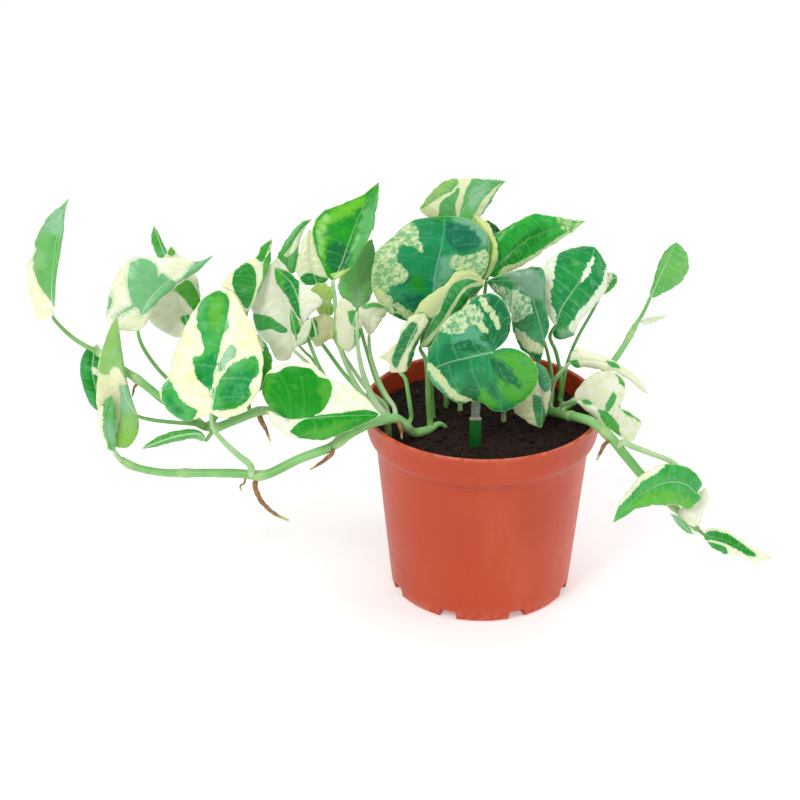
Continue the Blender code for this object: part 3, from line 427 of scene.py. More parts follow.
def stalk_material(name, light, dark, streak_col, amount=0.5):
    """Petiole or vine skin: fine lengthwise streaks, darker scars at the nodes.
    Reads st_a (mm along, angle, mm from the nearest node)."""
    k = Nodes(name, 0.42)
    sd = seed_of(name)
    along, ang, ring = k.parts(k.attr("st_a"))
    p = k.place((sd * 0.013 % 1, 0.3, 0.7))
    a2 = k.math("MULTIPLY", ang, 2 * pi)
    v = k.join(k.math("MULTIPLY", k.math("SINE", a2), 2.4), k.math("MULTIPLY", k.math("COSINE", a2), 2.4),
               k.math("MULTIPLY", along, 0.045))
    st = k.noise(v, 2.0, 3, 0.6)
    big = k.noise(p, 60, 2, 0.5)
    fine = k.noise(p, 1500, 2, 0.5)
    col = k.mix(k.step(big, 0.35, 0.65), light, dark)
    col = k.mix(k.math("MULTIPLY", k.step(st, 0.52, 0.68), amount), col, streak_col)
    col = k.mix(k.math("MULTIPLY", k.step(fine, 0.62, 0.72), 0.25), col, streak_col)
    scar = k.math("SUBTRACT", 1.0, k.step(k.math("ABSOLUTE", k.math("ADD", ring, k.math("MULTIPLY", k.math("SUBTRACT", fine, 0.5), 0.7))), 0.18, 0.55))
    col = k.mix(k.math("MULTIPLY", scar, 0.6), col, lin(120, 105, 62))
    near = k.math("SUBTRACT", 1.0, k.step(ring, 0.5, 5.0))
    col = k.mix(k.math("MULTIPLY", near, 0.35), col, lin(205, 220, 165))
    h = k.math("ADD", k.math("MULTIPLY", st, 1.0), k.math("MULTIPLY", fine, 0.25))
    h = k.math("SUBTRACT", h, k.math("MULTIPLY", scar, 0.6))
    return k.out(Base_Color=col, Roughness=k.math("ADD", 0.34, k.math("MULTIPLY", fine, 0.2)),
                 Normal=k.bump(h, 0.4, 0.0003), Coat_Weight=0.08, Coat_Roughness=0.3)


def root_material(name):
    k = Nodes(name, 0.75)
    along, ang, ring = k.parts(k.attr("st_a"))
    p = k.place((0.1, 0.2, 0.3))
    n1 = k.noise(p, 400, 4, 0.65)
    n2 = k.noise(p, 2500, 2, 0.6)
    col = k.mix(k.step(n1, 0.35, 0.65), lin(128, 92, 58), lin(168, 128, 84))
    col = k.mix(k.math("MULTIPLY", k.step(n2, 0.58, 0.7), 0.5), col, lin(90, 62, 38))
    # ring holds the share of the way to the tip, which stays fresh and greenish
    col = k.mix(k.step(ring, 0.80, 0.97), col, lin(190, 196, 120))
    h = k.math("ADD", n1, k.math("MULTIPLY", n2, 0.4))
    return k.out(Base_Color=col, Roughness=k.math("ADD", 0.6, k.math("MULTIPLY", n1, 0.3)), Normal=k.bump(h, 0.7, 0.0005))


def pot_material():
    k = Nodes("pot_terracotta_plastic", 0.42)
    p = k.place()
    x, y, z = k.parts(p)
    big = k.noise(p, 14, 2, 0.5)
    flow = k.noise(k.place(stretch=(1, 1, 0.18)), 60, 3, 0.55)
    mid = k.noise(p, 240, 3, 0.6)
    fine = k.noise(p, 2200, 3, 0.6)
    rad = k.math("SQRT", k.math("ADD", k.math("MULTIPLY", x, x), k.math("MULTIPLY", y, y)))
    col = k.mix(k.step(big, 0.3, 0.7), lin(184, 62, 28), lin(193, 71, 36))
    col = k.mix(k.math("MULTIPLY", k.step(flow, 0.5, 0.75), 0.22), col, lin(212, 98, 66))
    col = k.mix(k.math("MULTIPLY", k.step(mid, 0.56, 0.74), 0.16), col, lin(178, 64, 34))
    # scuffed foot and handled rim edge
    foot = k.math("MULTIPLY", k.math("SUBTRACT", 1.0, k.step(z, 0.0, 0.009)), k.step(mid, 0.42, 0.62))
    col = k.mix(k.math("MULTIPLY", foot, 0.35), col, lin(224, 140, 112))
    edge = k.math("MULTIPLY", k.step(z, 0.0985, 0.1004), k.step(mid, 0.35, 0.6))
    col = k.mix(k.math("MULTIPLY", edge, 0.4), col, lin(232, 138, 106))
    # faint dried-water marks and soil dust all over; then painted shade that darkens the inner wall above the soil to a
    # deep red, darkest just under the rim's top, with dark soil specks on that wall
    dust = k.math("MULTIPLY", k.step(k.noise(p, 90, 5, 0.7), 0.58, 0.74), 0.05)
    col = k.mix(dust, col, lin(226, 168, 140))
    inner = k.math("MULTIPLY", k.math("SUBTRACT", 1.0, k.step(rad, 0.0565, 0.0583)), k.step(z, 0.080, 0.0985))
    inner = k.math("MULTIPLY", inner, k.math("SUBTRACT", 1.0, k.step(z, 0.0985, 0.1004)))
    # painted shade: the inner wall above the soil darkened to a deep red
    col = k.mix(k.math("MULTIPLY", inner, 0.85), col, lin(126, 38, 14))
    spots = k.math("MULTIPLY", k.math("MULTIPLY", inner, k.step(k.noise(p, 500, 4, 0.7), 0.57, 0.62)), 0.8)
    col = k.mix(spots, col, lin(48, 26, 18))
    # very fine turning lines and moulded texture
    lines = k.math("SINE", k.math("MULTIPLY", z, 5200.0))
    h = k.math("ADD", k.math("MULTIPLY", lines, 0.05), k.math("MULTIPLY", fine, 0.5))
    h = k.math("ADD", h, k.math("MULTIPLY", mid, 0.25))
    rough = k.math("ADD", 0.36, k.math("MULTIPLY", k.math("SUBTRACT", mid, 0.4), 0.25))
    return k.out(Base_Color=col, Roughness=rough, Normal=k.bump(h, 0.22, 0.00022), Specular_IOR_Level=0.35)


def soil_material(name, fibre=False):
    k = Nodes(name, 0.95)
    p = k.place()
    a = k.noise(p, 160, 5, 0.7)
    b = k.noise(p, 900, 5, 0.7)
    c = k.voronoi(p, 420)
    if fibre:
        col = k.mix(k.step(b, 0.35, 0.65), lin(66, 42, 30), lin(100, 68, 48))
    else:
        col = k.mix(k.step(a, 0.3, 0.7), lin(24, 14, 11), lin(46, 29, 22))
        col = k.mix(k.math("MULTIPLY", k.step(b, 0.54, 0.70), 0.6), col, lin(72, 47, 35))
        col = k.mix(k.math("MULTIPLY", k.step(b, 0.64, 0.70), 0.7), col, lin(146, 108, 80))
        col = k.mix(k.math("MULTIPLY", k.math("SUBTRACT", 1.0, k.step(a, 0.34, 0.46)), 0.7), col, lin(20, 12, 10))
    h = k.math("ADD", b, k.math("MULTIPLY", c, 0.6))
    return k.out(Base_Color=col, Roughness=k.math("ADD", 0.8, k.math("MULTIPLY", a, 0.2)), Normal=k.bump(h, 0.9, 0.0008),
                 Specular_IOR_Level=0.25)


# ------------------------------------------------------------ leaf patterns
def T(s):
    """Outline from text: 'u,v u,v ...' in sheet units."""
    return [tuple(float(x) for x in q.split(",")) for q in s.split()]


DEEP, EMER, TEAL, BLUE = lin(0, 104, 14), lin(4, 138, 14), lin(0, 112, 60), lin(0, 92, 70)
MIDG, LEAFG, FRESH, LIME = lin(44, 158, 32), lin(72, 170, 52), lin(92, 182, 48), lin(134, 196, 60)
GREY, SAGE = lin(140, 196, 150), lin(122, 186, 132)
CRM, CRM2, CRM3, WHT = lin(243, 246, 208), lin(250, 251, 226), lin(222, 232, 150), lin(240, 240, 228)
TANC = lin(226, 222, 186)

BASE = dict(
    g1=EMER, g2=MIDG, g3=SAGE, grey=GREY, bright=FRESH, c1=CRM, c2=CRM2, c3=CRM3,
    rag=0.35, veins=0.30, tint=0.6, halo=1.4, speck=0.90, midrib=0.7, rib=lin(190, 222, 180), dark=lin(0, 84, 36), m1=None, m2=None,
    rimw=0.5, rimf=0.6, rimc=lin(206, 226, 160), rough=0.30,
    wave=0.7, curl=0.8, nw=2.5, quilt=0.09, jag=1.0, fold=0.0, flip=False,
    cream=(), green=(), marble=(), greyz=(), brightz=(), darkz=())

STYLE = {
    "leaf_left_tip": dict(bright=lin(98, 184, 90), g1=lin(104, 180, 92), g2=lin(134, 194, 122), cream=[T("20,262 37,246 33,264 39,284 44,292 52,302 56,322 40,322 30,314 24,284")],
                          greyz=[T("40,215 60,200 66,215 62,235 50,240")], brightz=[T("48,230 58,236 57,262 52,300 45,270")], rag=0.2),
    "leaf_left_under": dict(jag=0.3, g1=EMER, g2=lin(20, 160, 70), cream=[T("90,366 97,368 98,376 92,372")], rag=0.3),
    "leaf_left_hanging": dict(g1=lin(132, 188, 92), g2=lin(146, 198, 104), g3=GREY, c1=TANC, c2=CRM, bright=LIME,
                              green=[T("117,312 105,340 100,362 99,372 108,374 113,366 122,372 130,386 124,344"),
                                     T("119,386 128,385 136,405 139,430 128,448 116,448 119,420 121,400"),
                                     T("101,408 108,398 113,402 112,425 108,436 100,424")],
                              greyz=[T("119,386 128,385 134,405 128,416 119,404"), T("101,408 108,398 113,402 112,425 108,436 100,424")],
                              brightz=[T("114,430 139,430 137,436 129,446 116,447")], rag=0.25, speck=0.8),
    "leaf_left_vine_end": dict(g1=SAGE, g2=LEAFG, cream=[T("95,400 102,404 103,430 108,448 98,440")]),
    "leaf_left_drooping": dict(g1=lin(112, 184, 120), g2=lin(124, 190, 130), g3=GREY, c1=lin(232, 238, 206), c2=CRM2, c3=lin(224, 228, 170),
                               green=[T("130,263 141,259 154,264 158,272 157,279 162,273 168,278 176,283 170,291 162,298 148,311 142,316 139,310 132,302 128,287 128,272"),
                                      T("176,283 184,276 196,262 206,255 216,253 211,259 200,270 190,276"),
                                      T("113,318 122,310 137,304 135,307 124,313 115,318"), T("106,314 106,300 112,294 111,306")],
                               rag=0.16, halo=2.6),
    "leaf_left_round": dict(c1=lin(238, 236, 214), c2=lin(246, 246, 226), c3=TANC, g1=lin(40, 160, 30), g2=FRESH,
                            green=[T("172,290 184,280 190,281 197,292 200,300 198,316 190,306 180,294"), T("181,317 190,315 188,326 182,322"), T("168,246 174,246 174,256 168,254")], rag=0.2),
    "leaf_left_small": dict(g1=LEAFG, g2=lin(88, 186, 96)),
    "leaf_left_front": dict(
        g1=EMER, g2=lin(66, 178, 80), g3=SAGE, c1=lin(240, 247, 196), c2=lin(249, 250, 222), c3=lin(226, 236, 150), tint=0.45, speck=0.88, rag=0.30, halo=1.2, dark=lin(14, 148, 66), darkz=[T("198,362 216,352 212,386 200,378"), T("218,396 232,374 254,372 246,396 224,402"), T("166,384 172,398 184,414 168,406")],
        green=[T("198,308 203,299 209,294 218,291 226,294 229,304 228,320 229,326 224,333 221,340 219,352 217,362 214,374 211,392 205,386 198,379 195,370 193,358 202,355 204,348 201,336 197,324"),
               T("170,375 162,389 162,402 168,412 181,421 190,421 198,411 193,408 182,402 177,392 171,383"),
               T("213,410 212,397 216,387 223,375 232,364 245,359 256,357 259,371 250,383 249,397 239,406 226,410"),
               T("225,352 230,345 236,348 235,356 224,366 217,378 219,364")],
        greyz=[T("223,352 229,345 236,347 236,357 226,366 217,378 219,362")],
        brightz=[T("210,300 221,296 222,318 216,332 210,320")], midrib=0.85, wave=0.3),
    "leaf_left_behind_front": dict(g1=EMER, g2=LEAFG, cream=[T("258,332 264,345 262,352 256,345")]),
    "leaf_left_young": dict(g1=LEAFG, g2=lin(92, 184, 104), g3=GREY),
    "leaf_left_rear": dict(c1=lin(240, 240, 205), c2=CRM, g1=lin(28, 140, 44), g2=MIDG, rag=0.14, halo=0.8,
                           green=[T("233,274 239,266 247,263 254,268 256,281 254,294 247,309 237,295 232,285"), T("256,258 257,248 266,238 274,236 270,246 262,262"),
                                  T("263,262 270,252 274,258 268,280 258,300 256,296 262,280")],
                           brightz=[T("262,266 270,256 272,264 264,284 260,284")]),
    "leaf_left_pale": dict(c1=lin(232, 234, 214), c2=lin(244, 244, 230), c3=TANC, g1=lin(30, 150, 60), g2=lin(70, 172, 80), rag=0.14, halo=0.6,
                           green=[T("252,313 262,315 270,317 280,324 288,331 281,333 272,329 258,330")]),
    "leaf_left_narrow": dict(g1=LEAFG, g2=MIDG),
    "leaf_left_folded_tall": dict(g1=lin(96, 182, 100), g2=LEAFG, g3=GREY, cream=[T("283,256 312,219 314,222 288,257")], rag=0.08),
    "leaf_left_dark_fold": dict(g1=lin(0, 124, 50), g2=lin(14, 140, 40), c1=lin(220, 234, 206), c2=WHT, bright=lin(60, 165, 30),
                                cream=[T("299,281 312,287 326,301 317,311 305,326 299,304")], brightz=[T("273,266 282,270 284,290 276,284")], rag=0.12, halo=0.8),
    "leaf_left_pale_narrow": dict(c1=lin(214, 228, 200), c2=WHT),
    "leaf_left_cream_low": dict(c1=lin(224, 214, 160), c2=lin(228, 222, 190), g1=lin(30, 120, 50), green=[T("307,322 314,320 318,335 309,337")]),
    "leaf_left_lower_front": dict(
        g1=lin(0, 140, 6), g2=lin(10, 150, 16), g3=lin(80, 180, 70), c1=lin(244, 247, 226), c2=lin(236, 240, 226), c3=lin(236, 242, 170), bright=lin(70, 165, 40),
        green=[T("262,392 263,378 266,374 277,373 286,367 301,367 311,369 319,377 329,380 332,389 329,400 322,411 309,417 291,419 276,414 266,406"),
               T("290,431 300,422 314,416 340,413 363,410 379,414 350,430 329,440 309,440 298,437")],
        brightz=[T("262,392 264,376 274,374 268,396 276,412 268,408"), T("318,378 332,382 332,396 324,408 320,392"), T("300,434 318,426 350,422 330,438 312,439")],
        rag=0.12, halo=0.7, midrib=0.35),
    "leaf_crown_upright": dict(
        g1=lin(22, 152, 24), g2=lin(6, 138, 34), g3=lin(80, 180, 50), bright=lin(104, 190, 40), grey=lin(92, 176, 96), dark=lin(0, 108, 50),
        darkz=[T("326,246 340,240 350,250 346,268 334,276 326,262")],
        cream=[T("330,274 352,266 366,246 374,228 376,231 366,252 352,272 336,281")], rag=0.10, c1=lin(176, 216, 110), c2=lin(190, 222, 120),
        greyz=[T("352,250 358,226 372,200 384,182 380,220 372,240 362,258 350,270")],
        brightz=[T("314,222 340,206 362,196 366,200 350,214 330,224 320,240"), T("318,240 326,236 328,256 322,262")], midrib=0.45, rimc=lin(176, 214, 90)),
    "leaf_crown_back_lobe": dict(g1=lin(168, 200, 100), g2=lin(184, 210, 120), g3=LIME),
    "leaf_crown_underside": dict(g1=lin(100, 206, 66), g2=lin(130, 210, 116), g3=GREY, bright=lin(60, 160, 20), grey=lin(130, 190, 130),
                                 brightz=[T("364,240 374,236 374,270 362,290 356,272")], greyz=[T("350,296 356,280 366,300 362,312 350,310")], flip=True, midrib=0.2),
    "leaf_crown_cream_back": dict(c1=lin(228, 238, 186), c2=lin(240, 244, 210), g1=lin(14, 130, 44), g2=lin(24, 145, 50),
                                  green=[T("300,278 307,273 318,276 329,280 320,285 310,292")], rag=0.1),
    "leaf_crown_spoon": dict(c1=lin(220, 224, 196), c2=lin(228, 230, 206), g1=lin(70, 160, 60), green=[T("354,330 366,328 364,349 356,347"), T("348,311 358,311 356,327 350,322")], rag=0.14),
    "leaf_crown_arch": dict(c1=lin(222, 226, 196), c2=lin(232, 234, 208), g1=lin(90, 170, 80), green=[T("362,305 376,303 388,309 374,307 364,309")], rag=0.08),
    "leaf_crown_twisted": dict(c1=lin(222, 226, 180), c2=lin(232, 234, 200), g1=lin(30, 120, 60), g2=lin(70, 150, 100), bright=lin(40, 130, 20),
                               green=[T("398,342 404,330 412,322 418,326 410,344 402,356 396,368 392,362"), T("406,372 410,352 420,334 428,324 424,340 414,364 408,376")],
                               brightz=[T("414,330 424,322 426,336 416,352")], rag=0.14),
    "leaf_crown_centre": dict(
        g1=lin(0, 140, 78), g2=lin(0, 126, 66), g3=lin(70, 164, 120), dark=lin(0, 104, 72), m1=lin(204, 222, 164), m2=lin(112, 176, 112),
        darkz=[T("396,262 412,276 404,286 392,280 388,268"), T("446,222 470,228 480,244 460,252 446,240"), T("402,294 424,296 430,308 410,306")], c1=lin(198, 216, 150), c2=lin(212, 228, 170), c3=lin(170, 204, 120),
        grey=lin(108, 172, 132), bright=lin(10, 140, 12), rag=0.32, halo=1.5, speck=0.80, tint=0.8, veins=0.22, midrib=0.65, rib=lin(120, 180, 190),
        cream=[T("369,266 370,282 372,296 378,304 387,312 396,316 392,306 388,297 384,290 379,282 375,274 374,266"), T("396,308 407,320 420,321 412,312 400,304 390,296"), T("474,276 484,262 489,272 486,282 478,286")],
        marble=[T("371,262 372,282 381,291 388,294 391.2,285.4 401.4,283.8 406.5,279.7 409.6,275.9 401.4,265.4 396.3,256.7 397.6,250.6 401.4,246.5 411.6,246.5 419.3,251.6 424.4,254.2 421.8,246.5 419,238.9 416.7,226.1 409,222 393.8,231 384,244 374,252"),
                T("452,256 470,254 486,250 489,259 486,279 470,271 458,272 450,264"), T("440,290 452,280 466,272 476,284 460,300 446,304")],
        greyz=[T("452,216 467.8,217 482,224.8 489,236.3 486,246 474.1,239.9 462.7,228.4 452,220"), T("441,258 456,256 454,268 446,284 436,292 438,272")],
        brightz=[T("401,277 416.7,274.6 424.4,281 425,292 411.6,290"), T("434,216 446,214 452,222 442,226")], wave=0.4, rimc=lin(200, 218, 140), rimf=0.7),
    "leaf_crown_centre_back": dict(g1=lin(100, 170, 40), g2=lin(130, 184, 60), c1=lin(204, 216, 130), c2=lin(214, 222, 140),
                                   cream=[T("474,214 490,222 500,240 498,256 488,276 484,282 490,262 493,246 486,232 476,222")], rag=0.12, rimf=0.8),
    "leaf_crown_top": dict(
        g1=lin(100, 184, 90), g2=lin(84, 170, 90), g3=GREY, bright=lin(146, 190, 96), c1=lin(226, 232, 180), c2=lin(236, 240, 200),
        cream=[T("418,210 426,206 438,198 452,190 460,182 456,190 440,204 438,216 424,218"), T("458,178 471,178 466,190 462,204 458,218 455,206 459,192"),
               T("504,180 496,190 486,206 477,220 472,222 480,204 492,190")],
        brightz=[T("420,208 428,196 442,183 458,178 454,184 440,196 428,204")], greyz=[T("470,186 490,182 484,196 470,210")], rag=0.14, halo=0.8, midrib=0.3),
    "leaf_crown_arching": dict(
        g1=lin(60, 156, 70), g2=lin(30, 140, 60), c1=lin(208, 222, 158), c2=lin(214, 226, 168), bright=lin(10, 110, 12),
        cream=[T("413,320 418,306 428,296 446,283 456,272 466,269 480,274 484,282 468,279 458,281 450,288 444,300 438,314 430,318 422,312"),
               T("484,280 466,286 452,304 439,325 418,348 421,350 441,328 454,308 467,289 484,284")],
        brightz=[], dark=lin(4, 104, 12), darkz=[T("484,285 470,292 457,310 443,332 424,352 442,352 458,334 474,312 486,294")], rag=0.10, rimw=0.9, rimf=0.8, rimc=lin(206, 222, 130)),
    "leaf_crown_low_hero": dict(
        g1=lin(0, 118, 66), g2=lin(30, 146, 84), g3=lin(96, 176, 120), bright=lin(70, 172, 36), grey=lin(84, 164, 126), c1=lin(196, 218, 160), c2=lin(206, 224, 174), dark=lin(0, 108, 56),
        # darkz here: darker green streaks in the upper lobe and lower half, the leaf's own colour, and painted shade in
        # the two zones beside the notch at the base
        darkz=[T("478,297 496,296 510,310 512,330 500,344 488,344 480,336 490,326 484,310"), T("486,356 500,360 512,370 522,388 508,384 496,374"), T("452,398 470,384 480,392 476,410 462,408"), T("440,345 470,340 486,350 460,352")],
        cream=[T("478,296 484,296 488,304 496,314 501,330 497,330 490,316 480,304"), T("462,308 470,306 482,320 488,334 480,330 470,318"), T("446,322 452,318 466,332 458,334"), T("424,360 429,372 437,381 445,392 457,401 474,404 472,400 458,394 449,384 442,374 434,366")],
        marble=[T("438,330 448,316 466,304 480,308 484,318 470,326 452,334")], m1=lin(206, 226, 176), m2=lin(96, 168, 116),
        brightz=[T("494,354 518,350 536,364 540,384 530,400 508,402 498,380"), T("452,392 480,388 500,404 480,412 460,408")],
        greyz=[T("456,330 474,326 490,344 478,352 450,346"), T("430,374 442,380 448,392 436,386")], rag=0.4, halo=1.0, speck=0.82, wave=0.5, midrib=0.4, rimc=lin(170, 206, 140)),
    "leaf_crown_speckled": dict(
        g1=lin(16, 118, 60), g2=lin(60, 150, 90), g3=lin(110, 170, 130), bright=lin(30, 120, 20), grey=lin(120, 160, 130), c1=lin(214, 220, 176), c2=lin(224, 228, 190),
        cream=[T("484,285 497,288 508,290 522,296 528,304 516,302 508,310 502,302"), T("514,328 522,330 530,338 540,344 545,352 532,352 520,344")],
        marble=[T("486,284 505,287 525,296 532,312 520,318 508,306"), T("512,300 520,302 520,320 512,322")],
        greyz=[T("500,270 532,268 545,284 540,300 522,290")], rag=0.4, speck=0.76, midrib=0.45),
    "leaf_crown_pointed_low": dict(c1=lin(222, 226, 180), c2=lin(230, 232, 196), g1=lin(40, 130, 60), g2=lin(70, 150, 100),
                                   green=[T("532,395 540,396 545,424 540,428 534,412"), T("535,362 548,366 550,388 544,392 538,380")], rag=0.16, speck=0.75),
    "leaf_crown_right_long": dict(
        g1=lin(6, 160, 44), g2=lin(34, 170, 54), g3=lin(96, 192, 76), dark=lin(0, 136, 34), darkz=[T("498,268 520,240 540,226 548,232 530,250 510,268")], c1=lin(208, 226, 160), c2=lin(222, 234, 180),
        cream=[T("496,280 509,274 524,266 540,257 556,246 572,236 590,222 572,229 554,240 536,252 518,262 502,268")],
        marble=[T("556,216 580,218 588,222 574,232 560,228")], rag=0.16, speck=0.8, midrib=0.3),
    "leaf_crown_dark_sliver": dict(g1=lin(0, 84, 34), g2=lin(0, 96, 40)),
    "leaf_crown_right": dict(
        g1=lin(0, 132, 66), g2=lin(26, 152, 60), c1=lin(226, 238, 220), c2=lin(238, 244, 232),
        cream=[T("541,290 543,268 550,257 558,250 556,262 553,280 551,300 556,318 553,330 546,312"), T("577,286 584,272 594,256 590,272 582,282"),
               T("596,304 608,292 610,276 606,262 603,278 596,290 584,306 574,318 568,332 580,330 586,316")],
        greyz=[T("558,330 576,326 574,336 560,338")], rag=0.42, halo=0.8, midrib=0.5),
    "leaf_crown_right_behind": dict(g1=LEAFG, g2=MIDG, cream=[T("599,290 606,276 612,272 608,286 602,297")]),
    "leaf_right_upright": dict(g1=lin(88, 176, 76), g2=lin(110, 186, 86), g3=GREY, rimf=0.5),
    "leaf_right_bract": dict(c1=lin(214, 232, 190), c2=WHT),
    "leaf_right_drooping": dict(c1=lin(232, 236, 206), c2=lin(240, 242, 218), g1=lin(60, 160, 50),
                                green=[T("568,362 577,360 579,367 571,369"), T("606,361 616,363 620,368 610,366")], rag=0.15, midrib=0.1),
    "leaf_right_round": dict(c1=lin(232, 238, 212), c2=lin(244, 246, 228), g1=lin(70, 170, 80), g2=LEAFG,
                             green=[T("605,410 607,402 614,392 616,395 614,404 609,411"), T("597,410 603,410 616,421 621,436 613,432 604,422"), T("615,371 626,374 628,388 621,385"), T("619,406 634,405 645,414 644,425 636,419 626,414"), T("581,400 590,401 593,404 584,404")],
                             midrib=0.1,
                             rag=0.22, halo=1.0),
    "leaf_right_low": dict(g1=lin(40, 160, 60), g2=lin(70, 174, 76), g3=SAGE, c1=lin(232, 238, 206), c2=CRM2,
                           cream=[T("612,512 624,494 638,478 652,468 668,461 660,471 650,478 640,484 630,496 620,506")], brightz=[T("616,516 640,496 662,490 690,498 700,512 660,505 630,508")], rag=0.3, speck=0.84, midrib=0.5),
    "leaf_right_low_behind": dict(c1=lin(230, 232, 206), c2=WHT),
    "leaf_right_terminal": dict(c1=lin(238, 240, 214), c2=CRM2, g1=lin(20, 150, 40), g2=lin(50, 165, 60),
                                green=[T("702,534 712,531 724,533 736,539 748,548 757,556 750,556 738,550 726,544 712,540 704,539"), T("704,542 714,543 726,548 728,555 718,553 706,547")],
                                dark=lin(0, 140, 4), darkz=[T("704,532 720,533 738,541 754,554 740,550 722,542")], rag=0.2, midrib=0.1),
    "leaf_right_terminal_bract": dict(g1=LEAFG, g2=SAGE),
}

VINE_POINTS = []            # world points of every vine, for petioles to join


def nearest_np(line, uv):
    """Nearest point of a fine midrib (n, 3) for each uv: depth, distance, share of the way."""
    d = np.linalg.norm(line[None, :, :2] - uv[:, None, :], axis=2)
    j = d.argmin(1)
    seg = np.concatenate([[0.0], np.cumsum(np.linalg.norm(np.diff(line[:, :2], axis=0), axis=1))])
    return line[j, 2], d[np.arange(len(uv)), j], seg[j] / seg[-1]


def soil_top(x, y):
    """Height of the soil's surface (mm) at x, y (mm)."""
    r = min(sqrt(x * x + y * y), 56.3)
    if r > 40:
        return 89.0 + 2.0 * 0.6 * (56.3 - r) / 16.3
    return 89.0 + 2.0 * (1 - 0.4 * r / 40)


def join_on(p, own=None):
    """Where a stalk whose last world point is p grows on: the vine's axis, or down in the soil."""
    best, bd = None, 0.009
    for key, q in VINE_POINTS:
        if key == own:
            continue
        d = (q - p).length
        if d < bd:
            best, bd = q, d
    if best is not None:
        return best
    x, y, z = p.x / MM, p.y / MM, p.z / MM
    if sqrt(x * x + y * y) < 54 and 85 < z < 112:
        return Vector((p.x * 0.97, p.y * 0.97, (soil_top(x, y) - 4) * MM))
    return None


def run_on(p, name):
    """The hidden run from a stalk's last point p on to the nearest vine, or into the soil."""
    best, bd = None, 0.095
    for key, q in VINE_POINTS:
        d = (q - p).length + max(0.0, q.z - p.z) * 2.0
        if d < bd:
            best, bd = q, d
    for key, q in STALK_POINTS:
        d = (q - p).length * 1.6
        if key != name and q.z < p.z and d < bd:
            best, bd = q, d
    if best is None:
        return []
    a = p.lerp(best, 0.35) + Vector((0.0, 2.5, -1.0)) * MM
    b = p.lerp(best, 0.72) + Vector((0.0, 2.0, -1.5)) * MM
    return [np.array(a), np.array(b), np.array(best)]


NC, NR = 60, 13


LEAVES, STALK_POINTS = [], []


def leaf(*args, **kw):
    """Note a leaf; they grow once every stalk's place is known."""
    LEAVES.append((args, kw))
    if kw.get("petiole"):
        for q in catmull([tuple(at(*v)) for v in kw["petiole"]], 12)[5:]:
            STALK_POINTS.append((args[0], Vector(q)))


